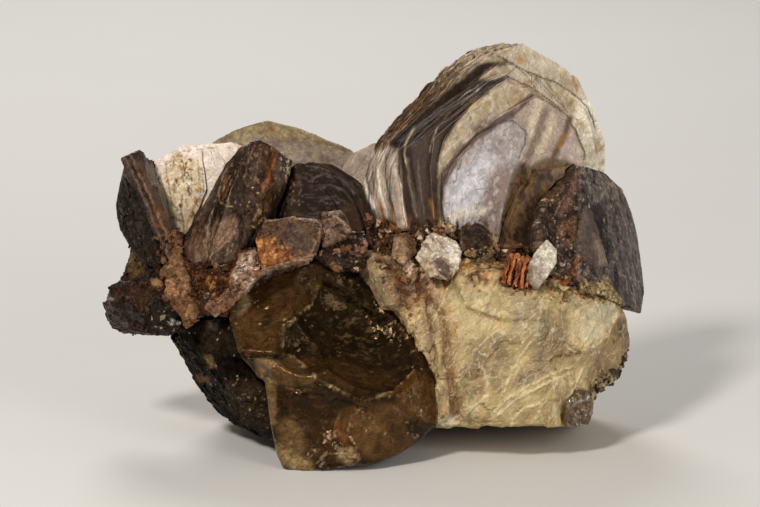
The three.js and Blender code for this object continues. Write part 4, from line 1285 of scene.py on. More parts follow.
def right_book():
    book = carved("right_mica_book", 0.32, (90, 79, 76))
    carve_right_book(book)
    striated_face(book)
    dark_side(book)
    smooth_blade(book)
    overgrown = [(576, 290), (584, 283), (596, 284), (606, 277), (612, 290), (622, 304), (600, 308)]
    book.zone(overgrown, (166, 150, 112), 2)
    book.specks((112, 92, 64), 1.0, 0.25, book.patch(overgrown, 2), seed=21)
    return book.build("right_mica_book_blades", "dark_mica", STRIATED_MICA)


# Blade edges and streaks on the fan: tone, half-width, path
FAN_MARKS = [
    ((36, 25, 20), 2.6, [(240, 152), (224, 166), (216, 184), (210, 208), (206, 224)]),
    ((150, 120, 92), 0.9, [(227, 168), (221, 178), (218, 192), (221, 201), (227, 206), (234, 207)]),
    ((148, 122, 98), 0.8, [(232, 180), (230, 190), (226, 200)]),
    ((128, 104, 82), 0.8, [(243, 160), (238, 167), (236, 176)]),
    ((30, 21, 18), 1.4, [(243, 164), (243, 186), (244, 212)]),
    ((118, 94, 78), 0.9, [(256, 144), (249, 158), (245, 176)]),
    ((96, 76, 66), 1.6, [(263, 148), (257, 166), (254, 184)]),
    ((38, 27, 23), 1.4, [(272, 150), (266, 168), (260, 190)]),
    ((132, 82, 42), 2.0, [(275, 158), (270, 174), (263, 190)]),
    ((172, 140, 92), 1.0, [(262, 212), (255, 222), (249, 228)]),
    ((150, 116, 74), 1.0, [(258, 210), (250, 222)]),
    ((140, 112, 90), 0.9, [(214, 208), (209, 226), (206, 246)]),
    ((34, 24, 20), 1.2, [(218, 206), (214, 222), (211, 240)]),
    ((146, 116, 92), 0.8, [(234, 218), (228, 232), (218, 244)]),
    ((132, 102, 80), 0.8, [(238, 222), (232, 236), (224, 244)]),
    ((104, 80, 66), 1.0, [(196, 226), (191, 242), (190, 254)]),
]


def fan_book():
    book = carved("fan_mica_book", 0.3, (50, 35, 27))
    folds = rough(book.points, (2.2, 3, 16), 2, 8)
    book.push(-0.5 + 0.5 * folds)
    book.chip((0.3, (3, 3, 9), 9), (0.1, (1, 2, 3), 19))
    book.soften(3)
    book.lift([(242, 216), (262, 204), (270, 236), (262, 262), (240, 262)], 1.2, 4)
    hollow = [(220, 175), (228, 164), (240, 160), (242, 200), (234, 214), (222, 206)]
    book.specks((42, 31, 27), (1.6, 2, 5), 0.35, seed=1, share=0.8)
    book.specks((94, 68, 50), (0.8, 1, 2), 0.16, seed=3, share=0.8)
    book.zones([
        ((40, 29, 25), 5, hollow),
        ((84, 58, 38), 2, [(221, 172), (228, 168), (230, 186), (228, 204), (222, 204)]),
    ])
    book.strokes([
        ((88, 62, 42), 4, [(244, 144), (228, 158), (214, 176), (208, 198), (202, 222), (192, 242)]),
        ((116, 88, 62), 1.2, [(246, 142), (226, 157), (211, 175), (205, 196), (199, 220)]),
    ])
    book.zones([
        ((60, 45, 39), 4, [(243, 150), (262, 142), (266, 165), (262, 205), (248, 215), (242, 190)], 0.8),
        ((92, 58, 34), 4, [(266, 146), (284, 150), (274, 190), (262, 220), (254, 226), (262, 190)]),
        ((80, 66, 56), 3, [(278, 150), (296, 156), (292, 176), (276, 192), (276, 170)]),
    ])
    sparkle = book.patch([(280, 148), (296, 154), (290, 175), (280, 182)], 2)
    book.specks((196, 182, 160), (0.5, 0.6, 0.9), 0.2, sparkle, seed=5)
    glints = book.patch([(244, 182), (264, 182), (266, 222), (246, 226)], 3)
    book.specks((186, 158, 124), (0.35, 0.6, 1.2), 0.12, glints, seed=7)
    book.specks((150, 122, 94), (0.3, 0.6, 2.4), 0.1, book.front, seed=11, share=0.6, turn=14)
    book.specks((32, 23, 19), (0.5, 1, 5), 0.2, book.front, seed=13, share=0.7, turn=14)
    leaf = [(214, 222), (236, 214), (240, 230), (226, 244), (206, 258), (204, 244)]
    book.zone(leaf, (108, 83, 66), 3)
    on_leaf = book.patch(leaf, 3)
    book.specks((142, 112, 90), (0.5, 0.6, 1.6), 0.22, on_leaf, seed=15, share=0.7, turn=-30)
    book.specks((70, 50, 40), (0.5, 0.6, 1.8), 0.2, on_leaf, seed=17, share=0.7, turn=-30)
    book.zone([(236, 222), (262, 214), (270, 236), (254, 258), (238, 250)], (44, 32, 26), 5, 0.8)
    book.stroke([(204, 240), (207, 257), (218, 250), (230, 240)], (150, 126, 100), 1.2)
    book.zone([(186, 244), (204, 232), (204, 262), (190, 268)], (110, 82, 64), 4, 0.8)
    book.shade(0.84)
    book.strokes(FAN_MARKS)
    return book.build("fan_mica_book_blades", "brown_mica", FLUTED_MICA)


def edge_book():
    book = carved("edge_mica_book", 0.3, (60, 46, 40))
    rough_side = [
        (112, 190), (124, 176), (138, 192), (150, 222), (164, 250), (176, 272), (150, 276), (128, 250),
        (112, 222),
    ]
    side = book.patch(rough_side, 3)
    beside_pale = [(144, 150), (166, 156), (168, 184), (150, 184)]
    book.lift(beside_pale, -0.9, 5)
    book.push(-0.2 * ridged(book.points, (0.8, 2, 9), 2, 9))
    slanted = book.points @ rotation(-25)
    broken = -0.7 * chipped(slanted, (1.4, 2, 5), 4) - 0.5 * ridged(slanted, (0.8, 1, 7), 3, 5)
    book.push(broken * side)
    book.groove([(133, 163), (148, 196), (164, 236), (177, 262)], 2.2, 0.4)
    book.specks((40, 31, 28), (1, 2, 6), 0.35, seed=1, share=0.8)
    book.paint((20, 16, 12), side)
    book.specks((60, 50, 36), 0.8, 0.12, side, seed=3)
    book.specks((14, 12, 10), 1.6, 0.3, side, seed=5)
    book.zones([
        ((74, 56, 46), 3, [(134, 166), (150, 162), (158, 190), (160, 220), (150, 200)]),
        ((96, 66, 42), 3, [(150, 200), (162, 212), (170, 240), (160, 236)]),
    ])
    book.strokes([
        ((100, 80, 70), 1.4, [(124, 158), (134, 178), (146, 204), (158, 234), (170, 262)]),
        ((116, 90, 70), 1.2, [(129, 154), (138, 172), (150, 198), (162, 226), (178, 262)]),
        ((170, 154, 140), 2.0, [(121, 158), (128, 153)]),
    ])
    return book.build("edge_mica_book_blades", "dark_mica", FLUTED_MICA)


# Small crystals and fine-grained mica


def finished(crystal, slot, finish=SCALY_MICA):
    """Builds a crystal that is all fine scales, named after its node."""
    return crystal.build(crystal.node + "_scales", slot, finish)


def silver_book():
    book = carved("silver_mica_book", 0.2, (206, 190, 166))
    slanted = book.points @ rotation(-40)
    book.push(-0.4 * chipped(slanted, (1.2, 2, 4), 3) - 0.15 * ridged(slanted, (0.5, 1, 4), 2, 4))
    book.specks((228, 218, 202), (0.6, 1, 2), 0.25, seed=1, share=0.7, turn=-40)
    book.specks((150, 126, 104), (0.35, 1, 1.8), 0.14, seed=3, share=0.8, turn=-40)
    book.zones([
        ((222, 214, 202), 2, [(443, 243), (456, 243), (460, 252), (456, 262), (448, 260)]),
        ((176, 154, 128), 3, [(420, 256), (432, 262), (436, 276), (424, 272)]),
        ((104, 86, 76), 0.8, [(433, 261), (440, 256), (449, 268), (451, 277), (444, 275)]),
    ])
    book.strokes([
        ((128, 104, 86), 0.8, [(432, 240), (440, 252)]),
        ((128, 104, 86), 0.7, [(437, 239), (447, 254)]),
        ((226, 214, 196), 1.6, [(459, 250), (456, 266), (451, 277)]),
    ])
    book.specks((120, 72, 40), 1.2, 0.5, book.below(270, 8), seed=5)
    return finished(book, "pale_mica")


def dark_knob():
    knob = carved("dark_mica_knob", 0.2, (52, 38, 28))
    knob.chip((0.4, 1.6, 2), (0.2, 0.7, 3))
    knob.specks((84, 62, 48), 1.2, 0.2, seed=1, share=0.8)
    knob.specks((34, 24, 20), 1.4, 0.3, seed=3)
    knob.zone([(456, 224), (468, 220), (480, 222), (470, 226)], (150, 96, 46), 2, 0.8)
    knob.strokes([
        ((104, 84, 66), 2.4, [(462, 230), (462, 244), (466, 256)], 0.8),
        ((152, 120, 88), 1.6, [(488, 236), (493, 246), (490, 256)]),
    ])
    return finished(knob, "dark_mica")


def white_flake():
    flake = carved("white_mica_flake", 0.2, (206, 197, 180))
    flake.chip((0.15, 2.4, 2))
    flake.specks((226, 220, 206), 1.2, 0.3, seed=2, share=0.5)
    flake.specks((186, 174, 156), 0.9, 0.16, seed=4, share=0.5)
    flake.zones([
        ((142, 122, 106), 2, [(522, 262), (533, 264), (538, 276), (536, 294), (522, 290)]),
        ((176, 160, 144), 3, [(533, 268), (546, 270), (540, 292), (532, 292)]),
    ])
    return finished(flake, "pale_mica")


def rust_book():
    book = carved("rust_mica_book", 0.16, (184, 112, 70))
    slanted = book.points @ rotation(25)
    book.push(-0.35 * ridged(slanted, (0.6, 1.2, 3), 2, 3) - 0.6 * chipped(slanted, (1.2, 2, 3), 5))
    book.specks((60, 24, 14), (0.5, 1.2, 2.4), 0.3, seed=1)
    book.specks((206, 138, 88), (0.5, 1, 2), 0.25, seed=3, turn=25)
    book.zone([(508, 250), (530, 248), (532, 264), (514, 266)], (196, 124, 78), 4, 0.7)
    book.strokes([
        ((72, 26, 12), 3, [(519, 262), (512, 282)], 0.7),
        ((84, 42, 24), 2.5, [(508, 256), (503, 280)], 0.7),
    ])
    return finished(book, "rust_stained_mica")


def lilac_lump():
    crystal = carved("lilac_mica_lump", 0.2, (158, 128, 102))
    crystal.chip((0.4, 2, 2), (0.2, 0.8, 3))
    crystal.specks((176, 150, 122), (1.0, 1, 2), 0.2, seed=1, share=0.6)
    crystal.specks((110, 82, 64), (0.8, 1, 2), 0.2, seed=3, share=0.7)
    crystal.zones([
        ((92, 60, 40), 4, [(404, 232), (420, 234), (418, 264), (408, 262)], 0.9),
        ((98, 70, 54), 3, [(392, 230), (414, 228), (414, 240), (392, 238)], 0.8),
        ((176, 150, 108), 4, [(390, 250), (402, 252), (402, 266), (392, 262)], 0.7),
    ])
    return finished(crystal, "brown_mica")


def tooth_crystal():
    crystal = carved("tooth_mica_crystal", 0.2, (112, 88, 72))
    crystal.chip((0.35, 2.2, 2))
    crystal.stroke([(330, 214), (342, 222), (348, 232)], (164, 136, 112), 1.6)
    crystal.specks((146, 118, 98), 1.4, 0.25, seed=1)
    crystal.specks((74, 52, 42), 1.4, 0.25, seed=3)
    return finished(crystal, "brown_mica")


def centre_slab():
    slab = carved("centre_mica_slab", 0.24, (84, 60, 44))
    slab.chip((0.5, (4, 3, 3), 2), (0.15, 0.9, 3))
    slab.specks((108, 82, 60), 2.4, 0.3, seed=1, share=0.7)
    slab.specks((58, 44, 40), 2.0, 0.25, seed=3)
    slab.zones([
        ((82, 66, 56), 5, [(288, 226), (312, 226), (310, 252), (290, 252)], 0.8),
        ((156, 96, 48), 7, [(250, 238), (272, 240), (290, 256), (282, 272), (250, 272)], 0.85),
    ])
    slab.strokes([
        ((160, 128, 104), 1.4, [(264, 222), (288, 218), (314, 220), (321, 224)]),
        ((146, 116, 92), 1.4, [(321, 224), (318, 240), (310, 255)]),
        ((156, 124, 96), 1.6, [(292, 259), (304, 258), (314, 254)]),
    ])
    stain = slab.patch([(250, 238), (276, 238), (294, 258), (284, 274), (250, 274)], 5)
    slab.specks((208, 148, 92), (1, 1, 1.6), 0.3, stain, seed=5, share=0.85)
    slab.specks((92, 46, 24), 1.1, 0.22, stain, seed=7)
    return finished(slab, "brown_mica")


def dark_crystal():
    crystal = carved("dark_mica_crystal", 0.22, (44, 32, 26))
    crystal.chip((0.5, (3, 3, 1.6), 2), (0.2, 0.8, 3))
    crystal.specks((84, 62, 46), 1.4, 0.22, seed=1)
    crystal.specks((30, 22, 20), 1.8, 0.3, seed=3)
    crystal.stroke([(326, 262), (344, 268), (360, 268)], (140, 104, 74), 2)
    crystal.lift([(316, 254), (366, 258), (372, 286), (330, 280)], 0.8, 4)
    # Pinkish specks at the right, painted highlights
    crystal.specks((150, 116, 98), 1.2, 0.3, crystal.right_of(346, 12), seed=5)
    return finished(crystal, "dark_mica")


def pink_crust():
    crust = carved("pink_mica_crust", 0.2, (186, 150, 126))
    slanted = crust.points @ rotation(40)
    crust.push(-0.45 * chipped(slanted, (1, 1.5, 2), 2) - 0.2 * chipped(crust.points, 0.7, 3))
    crust.specks((226, 202, 186), 1.4, 0.36, crust.right_of(230, 8), seed=1)
    crust.specks((124, 86, 64), 1.2, 0.16, seed=3)
    over_quartz = [(236, 302), (262, 282), (300, 266), (316, 262), (300, 282), (262, 300)]
    crust.lift(over_quartz, -1.3, 3)
    crust.zones([
        ((92, 66, 52), 4, [(224, 240), (266, 240), (264, 260), (250, 256), (238, 264), (226, 266)], 0.85),
        ((116, 82, 60), 4, [(200, 284), (242, 284), (240, 300), (226, 314), (196, 320)]),
        ((158, 92, 42), 3, [(214, 284), (224, 277), (236, 278), (236, 288), (222, 292)]),
        ((148, 104, 76), 3, [(198, 294), (222, 292), (226, 302), (206, 312)]),
    ])
    crust.stroke([(212, 289), (222, 294), (232, 294)], (48, 28, 20), 1.8)
    # Darker towards the quartz: painted shade on the crust's underside over it
    crust.zones([
        ((124, 88, 64), 5, [(252, 250), (300, 240), (330, 262), (280, 268), (256, 276)]),
        ((34, 23, 14), 4, [(242, 296), (256, 278), (274, 269), (326, 258), (330, 290), (262, 308)]),
    ])
    crust.stroke([(280, 264), (296, 261), (314, 259)], (172, 142, 116), 1.4)
    return finished(crust, "pink_mica")


def brown_mass():
    mass = carved("brown_mica_mass", 0.26, (70, 38, 18))
    mass.chip((0.5, (3, 3, 2), 2), (0.25, 0.9, 3))
    mass.specks((44, 25, 16), 2.0, 0.3, seed=1)
    mass.specks((116, 74, 42), 1.4, 0.16, seed=3)
    tongue = [
        (164, 268), (178, 262), (188, 280), (190, 300), (196, 322), (186, 332), (180, 310), (176, 298),
        (164, 296),
    ]
    mass.zone(tongue, (168, 126, 90), 5, 0.95)
    mass.push(-0.8 * chipped(mass.points, (1.6, 2, 3.4), 12) * mass.within(tongue, 6))
    mass.zone([(164, 246), (180, 244), (186, 284), (172, 290)], (144, 106, 76), 6, 0.8)
    mass.specks((112, 76, 52), (1.0, 1, 2.4), 0.22, mass.patch(tongue, 2), seed=5)
    bright = [(232, 276), (239, 264), (252, 257), (264, 258), (260, 274), (246, 287), (234, 290)]
    mass.zone(bright, (214, 182, 160), 3)
    mass.specks((232, 210, 194), 1.2, 0.36, mass.patch(bright, 3), seed=9)
    mass.specks((132, 92, 66), 1.0, 0.2, mass.patch(bright, 3), seed=11)
    mass.lift([(186, 300), (206, 300), (206, 328), (188, 334)], 1.0, 5)
    mass.lift([(148, 244), (172, 244), (176, 296), (156, 298)], 1.2, 5)
    under_fan = [(232, 236), (262, 222), (268, 262), (246, 266), (232, 258)]
    mass.lift(under_fan, 1.4, 5)
    mass.zones([
        ((124, 88, 60), 3, [(156, 222), (172, 232), (186, 250), (182, 266), (168, 252)]),
        ((54, 24, 10), 4, [(190, 264), (224, 266), (222, 282), (196, 286)], 0.8),
    ])
    mass.strokes([
        ((34, 19, 13), 1.8, [(184, 262), (190, 276), (196, 292), (200, 306)]),
        ((132, 112, 98), 1.8, [(214, 269), (226, 264), (238, 255)]),
    ])
    rusty = mass.within([(206, 276), (240, 270), (240, 296), (210, 300)], 4)
    mass.specks((168, 108, 58), 1.2, 0.3, rusty, seed=7)
    return finished(mass, "brown_mica")


def left_knob():
    knob = carved("left_mica_knob", 0.28, (34, 21, 13))
    knob.chip((0.9, (3, 3, 2.4), 2), (0.35, 1.1, 3))
    knob.soften(1)
    knob.specks((26, 18, 16), 2.2, 0.35, seed=1)
    knob.specks((74, 46, 30), 1.5, 0.18, seed=3)
    knob.zones([
        ((96, 74, 48), 3, [(126, 250), (138, 248), (146, 270), (130, 278)]),
        ((26, 20, 22), 3, [(112, 274), (126, 268), (124, 284), (108, 296)]),
        ((54, 31, 19), 6, [(126, 280), (156, 284), (150, 306), (120, 302)], 0.8),
        ((33, 16, 8), 6, [(102, 300), (150, 312), (156, 336), (124, 338), (104, 320)], 0.8),
        ((30, 21, 16), 5, [(150, 300), (180, 300), (184, 336), (152, 336)], 0.9),
        ((176, 138, 106), 2, [(150, 279), (162, 279), (162, 285), (152, 285)]),
    ])
    glints = knob.patch([(146, 300), (182, 312), (182, 336), (150, 330)], 4)
    knob.specks((170, 164, 154), 0.8, 0.09, glints, seed=5)
    knob.stroke([(104, 298), (112, 299)], (150, 138, 124), 2)
    return finished(knob, "brown_mica")


# The smoky quartz, its dark neighbour and the clear stub


QUARTZ_ZONES = [
    # Upper left facet, lighter towards its overhanging lower edge
    ((60, 40, 19), 2, [
        (228, 318), (240, 296), (262, 274), (290, 264), (316, 262), (322, 284), (312, 304), (290, 320),
        (282, 340), (276, 354), (238, 354),
    ]),
    ((66, 44, 19), 5, [(230, 322), (246, 320), (262, 332), (282, 330), (276, 354), (240, 354)]),
    ((74, 51, 24), 4, [(240, 316), (252, 308), (264, 318), (260, 340), (244, 338)]),
    # Bright left edge, a painted glassy highlight
    ((156, 130, 92), 3, [(226, 318), (230, 300), (244, 292), (252, 302), (246, 312), (236, 320)]),
    ((84, 64, 40), 3, [(290, 280), (300, 276), (302, 290), (296, 286)]),
    # Ledge below it, and the narrow strip
    ((80, 58, 31), 2, [
        (255, 355), (278, 353), (298, 360), (316, 376), (308, 392), (296, 390), (272, 379), (255, 374),
    ]),
    ((122, 98, 66), 3, [(255, 358), (267, 356), (274, 366), (262, 375)]),
    ((110, 86, 56), 2, [(264, 378), (277, 380), (276, 424), (270, 426)]),
    # The big hollow
    ((24, 14, 6), 4, [
        (284, 350), (286, 328), (308, 306), (322, 280), (340, 272), (362, 284), (386, 306), (408, 332),
        (416, 360), (398, 384), (366, 396), (340, 388), (316, 372),
    ]),
    ((16, 9, 4), 4, [(286, 332), (298, 326), (306, 344), (298, 356), (286, 352)]),
    ((56, 37, 17), 6, [
        (298, 360), (330, 358), (370, 374), (398, 372), (396, 388), (350, 392), (318, 378),
    ]),
    # Right rim and right facet
    ((56, 34, 15), 3, [
        (372, 282), (392, 300), (412, 326), (436, 370), (432, 378), (404, 336), (382, 308),
    ]),
    ((70, 43, 12), 2, [(394, 392), (414, 372), (436, 380), (440, 424), (418, 420), (396, 406)]),
    # Lower body
    ((36, 22, 10), 3, [(277, 386), (318, 384), (340, 396), (334, 430), (300, 440), (280, 424)]),
    ((50, 34, 17), 5, [(282, 420), (336, 420), (336, 462), (296, 468)]),
    ((70, 47, 24), 3, [
        (334, 410), (360, 402), (396, 404), (420, 422), (416, 444), (378, 464), (356, 452), (348, 436),
    ]),
    ((92, 64, 34), 5, [(354, 420), (384, 424), (390, 444), (366, 454), (352, 440)]),
    ((104, 80, 50), 6, [(278, 422), (292, 418), (306, 450), (296, 456), (280, 444)]),
    ((134, 110, 74), 4, [(272, 444), (288, 448), (312, 462), (314, 474), (280, 474), (272, 460)]),
    ((150, 124, 90), 3, [(338, 448), (350, 446), (360, 458), (350, 466), (338, 460)]),
    ((20, 12, 7), 3, [(404, 418), (418, 420), (420, 436), (408, 434)]),
    ((96, 58, 30), 4, [(334, 420), (346, 418), (352, 434), (346, 448), (338, 438)]),
    # Shadow under the overhang
    ((14, 9, 5), 2, [
        (236, 353), (256, 353), (280, 354), (300, 358), (284, 358), (254, 357), (252, 376), (240, 366),
    ]),
]

QUARTZ_CRESTS = [
    [(283, 352), (300, 362), (319, 380), (345, 394), (363, 401), (395, 391), (415, 371)],
    [(338, 449), (334, 430), (340, 412), (334, 402)],
    [(356, 449), (348, 436), (352, 416), (364, 402)],
    [(256, 374), (272, 380), (296, 391), (306, 391)],
    [(230, 318), (240, 332), (241, 350)],
    [(282, 350), (284, 332), (296, 316), (312, 304), (320, 284)],
]


def smoky_quartz():
    quartz = carved("smoky_quartz", 0.36, (30, 19, 9))
    quartz.soften(2)
    shells = ridged(quartz.points, 5, 2, 3)
    quartz.push(-0.4 * shells - 0.15 * chipped(quartz.points, 2.4, 13))
    pale_foot = [(276, 444), (300, 452), (340, 440), (362, 452), (350, 472), (276, 478)]
    quartz.push(-0.5 * chipped(quartz.points, 1.4, 15) * quartz.patch(pale_foot, 3))
    quartz.groove([(240, 354), (258, 355), (282, 357)], 3, 0.9)
    quartz.zones(QUARTZ_ZONES)
    patchy = smooth(0.4 + 1.4 * rough(quartz.points, 1.6, 3, 91))
    # Pale raised crests, with bright specks painted along them as sparkle, and dark specks
    for crest in QUARTZ_CRESTS:
        quartz.stroke(crest, (150, 122, 84), 2.2, 0.8 * patchy)
        quartz.groove(crest, 2.5, -0.2)
        splinters_and_sparkle = along(quartz.at, crest, 5) * patchy * quartz.front
        quartz.specks((186, 156, 108), (0.9, 0.6, 0.45), 0.16, splinters_and_sparkle, seed=15, share=0.5, turn=-35)
        quartz.specks((18, 11, 6), (0.9, 0.6, 0.45), 0.22, splinters_and_sparkle, seed=17, share=0.6, turn=-35)
    broken_foot = quartz.patch(pale_foot, 3)
    quartz.specks((176, 154, 116), (0.8, 0.6, 1.6), 0.2, broken_foot, seed=19, share=0.5, turn=40)
    quartz.specks((66, 46, 26), (0.6, 0.6, 2.0), 0.22, broken_foot, seed=21, share=0.6, turn=40)
    quartz.specks((74, 54, 30), (1.6, 1.2, 0.8), 0.1, quartz.front, seed=1, share=0.7)
    # Tiny pale specks all over, and more on the upper left facet, painted as glints
    quartz.specks((176, 156, 120), (0.9, 0.6, 0.35), 0.004, quartz.front, seed=7, share=0.8)
    glint_patch = [(240, 290), (262, 300), (270, 330), (250, 322), (238, 306)]
    quartz.specks((206, 190, 156), (0.8, 0.6, 0.5), 0.03, quartz.patch(glint_patch, 4), seed=9)
    meets_mica = [(312, 254), (346, 264), (374, 288), (396, 314), (382, 322), (350, 300), (320, 280)]
    quartz.lift(meets_mica, 1.2, 5)
    veil = quartz.patch([(330, 300), (360, 296), (390, 340), (370, 360), (336, 346)], 8)
    quartz.specks((80, 62, 40), (1.2, 0.8, 0.5), 0.2, veil, seed=3, share=0.8)
    return quartz.build("smoky_quartz_surface", "smoky_quartz", QUARTZ, polished=True)


def dark_flank():
    flank = carved("dark_quartz_flank", 0.34, (18, 12, 8))
    flank.soften(2)
    flank.chip((0.7, 3.4, 23), (0.3, 1.2, 33))
    flank.specks((42, 32, 22), 1.4, 0.16, seed=1, share=0.8)
    flank.specks((8, 6, 4), 2.4, 0.35, seed=3)
    flank.zones([
        ((104, 80, 54), 2, [(204, 354), (212, 356), (217, 368), (208, 368)]),
        ((92, 70, 48), 2, [(196, 373), (208, 376), (212, 384), (200, 382)]),
        ((64, 56, 44), 3, [(206, 316), (220, 314), (218, 332), (206, 330)], 0.8),
        ((44, 34, 24), 6, [(198, 332), (236, 328), (240, 354), (204, 354)], 0.8),
        # Lighter patch low down, painted light of greyish glints
        ((60, 46, 32), 8, [(222, 380), (262, 384), (272, 428), (240, 424)], 0.85),
    ])
    flank.stroke([(230, 300), (232, 330), (240, 350), (252, 372), (262, 400)], (64, 54, 42), 1.2, 0.7)
    # Sparse pale specks, painted glints
    flank.specks((150, 140, 118), 0.6, 0.02, flank.front, seed=5)
    return finished(flank, "smoky_quartz", BLACK_QUARTZ)


def clear_nub():
    nub = carved("clear_quartz_nub", 0.22, (192, 154, 98))
    nub.chip((0.7, 2.4, 43))
    nub.specks((140, 112, 80), 1.6, 0.35, seed=1)
    # Pale specks painted as glints
    nub.specks((236, 226, 206), 1.0, 0.12, seed=3)
    nub.zone([(556, 408), (580, 412), (592, 424), (562, 434)], (136, 96, 58), 5, 0.8)
    nub.strokes([
        # Pale lines: cracks, the upper one also a painted glint along the upper edge
        ((250, 240, 220), 1.6, [(558, 400), (568, 406), (580, 402), (590, 396)]),
        ((238, 226, 204), 1.2, [(570, 406), (576, 416), (578, 428)]),
    ])
    return nub.build("clear_quartz_nub_surface", "clear_quartz", CLEAR_QUARTZ)


# The feldspar that carries the crystals


FELDSPAR_ZONES = [
    # Greyish clear parts
    ((138, 118, 84), 8, [(470, 340), (500, 330), (512, 360), (486, 384), (470, 366)]),
    ((134, 114, 82), 7, [(532, 318), (566, 312), (574, 356), (548, 360), (530, 344)]),
    ((132, 112, 84), 7, [(504, 392), (520, 372), (540, 352), (552, 362), (532, 384)]),
    ((160, 144, 112), 5, [(514, 296), (540, 296), (542, 330), (512, 334)]),
    # Oval brown patch
    ((120, 94, 64), 2, [(458, 374), (464, 366), (474, 364), (482, 368), (480, 378), (468, 382)]),
    ((146, 120, 84), 3, [(460, 382), (482, 378), (486, 392), (468, 400)]),
    # Pale face near the top right
    ((196, 184, 152), 1.5, [(594, 304), (612, 302), (618, 314), (597, 346), (578, 340), (582, 326)]),
    ((184, 168, 130), 4, [(566, 300), (594, 296), (590, 322), (572, 336)]),
    # Light cream at the upper left
    ((190, 170, 124), 8, [(450, 276), (500, 280), (496, 320), (460, 350), (450, 320)]),
    # Brown right side
    ((134, 106, 68), 3, [
        (600, 346), (616, 318), (630, 316), (640, 350), (622, 372), (592, 396), (584, 380), (594, 360),
    ]),
    ((104, 78, 52), 3, [(620, 318), (636, 330), (636, 360), (624, 366)]),
    ((162, 132, 88), 3, [(606, 330), (620, 338), (622, 362), (604, 370), (598, 358)]),
    # Left strip beside the quartz
    ((178, 142, 92), 4, [
        (368, 270), (400, 300), (430, 300), (436, 424), (440, 440), (420, 360), (396, 318),
    ]),
    ((198, 174, 132), 5, [(404, 322), (424, 312), (430, 350), (434, 372), (420, 352)]),
    ((158, 138, 106), 4, [
        (340, 255), (372, 250), (394, 258), (400, 290), (404, 312), (386, 304), (352, 278),
    ]),
    ((212, 174, 122), 5, [(456, 250), (506, 250), (506, 276), (480, 284), (456, 274)]),
    ((150, 122, 86), 5, [(420, 292), (434, 300), (436, 350), (430, 360), (424, 330)]),
    ((140, 106, 68), 4, [
        (438, 292), (448, 312), (452, 344), (458, 384), (462, 420), (450, 420), (442, 372),
    ]),
    # Bright sparkling tip
    ((204, 194, 168), 3, [(436, 416), (456, 416), (456, 424), (440, 432)]),
]

FELDSPAR_GROOVES = [
    ((120, 90, 54), 3.6, [
        (430, 300), (442, 316), (447, 344), (446, 362), (451, 384), (454, 404), (457, 420),
    ]),
    ((132, 98, 58), 2.4, [(428, 296), (430, 320), (434, 350), (436, 376)]),
    ((146, 112, 68), 2.2, [(552, 360), (566, 356), (584, 350)]),
]

FELDSPAR_CRESTS = [
    [(470, 352), (482, 344), (492, 334), (504, 326)],
    [(478, 362), (484, 372), (488, 388)],
    [(494, 412), (506, 400), (528, 386), (552, 374), (572, 366)],
    [(504, 392), (512, 370), (524, 350), (536, 336), (541, 310), (542, 298)],
    [(496, 416), (520, 396), (548, 382), (568, 374)],
    [(568, 400), (576, 384), (582, 368)],
    [(612, 302), (618, 314), (608, 334), (597, 347), (578, 352), (566, 346)],
    [(434, 320), (442, 304), (448, 288), (456, 272)],
    [(476, 318), (484, 308), (478, 296)],
    [(488, 330), (492, 320), (488, 300)],
    [(520, 322), (532, 334), (541, 336)],
    [(456, 424), (470, 410), (486, 396)],
    [(512, 420), (524, 408), (540, 404)],
]


def carve_feldspar(block):
    """Steps and chips that climb right, and room for the quartz and the knob."""
    block.soften(3)
    beside_quartz = [(346, 252), (392, 262), (410, 304), (392, 310), (360, 290)]
    under_knob = [(452, 258), (508, 256), (510, 282), (456, 284)]
    block.lift(beside_quartz, 2.4, 6)
    block.push(2.0 * block.patch(under_knob, 7))
    slanted = block.points @ rotation(38)
    unbroken = block.within([(450, 292), (526, 296), (534, 336), (500, 334), (454, 322)], 8)
    steps = -0.7 * chipped(slanted, (4, 5, 9), 3)
    block.push(steps * (1 - 0.85 * unbroken) - 0.3 * unbroken)
    block.push(-0.35 * chipped(slanted, (1.6, 2, 4), 13))
    block.chip((0.15, 1.1, 17))


def cream_mosaic(block):
    """Patches, veins, joints and pale crests of cleavage steps."""
    block.specks((144, 120, 78), (5, 5, 7), 0.3, seed=1, share=0.6)
    block.specks((206, 188, 142), (1.5, 3, 3), 0.24, seed=3, share=0.6)
    block.zones(FELDSPAR_ZONES, 0.85)
    veined = block.patch([(396, 306), (436, 292), (458, 296), (466, 424), (434, 424)], 5)
    block.specks((160, 112, 62), (0.8, 1, 4), 0.2, veined, seed=25, share=0.6)
    for tone, width, path in FELDSPAR_GROOVES:
        block.groove(path, width * 1.4, 0.7)
        block.stroke(path, tone, width)
    for path in FELDSPAR_CRESTS:
        block.groove(path, 2.4, -0.3)
        block.stroke(path, (224, 208, 168), 1.5, 0.8)


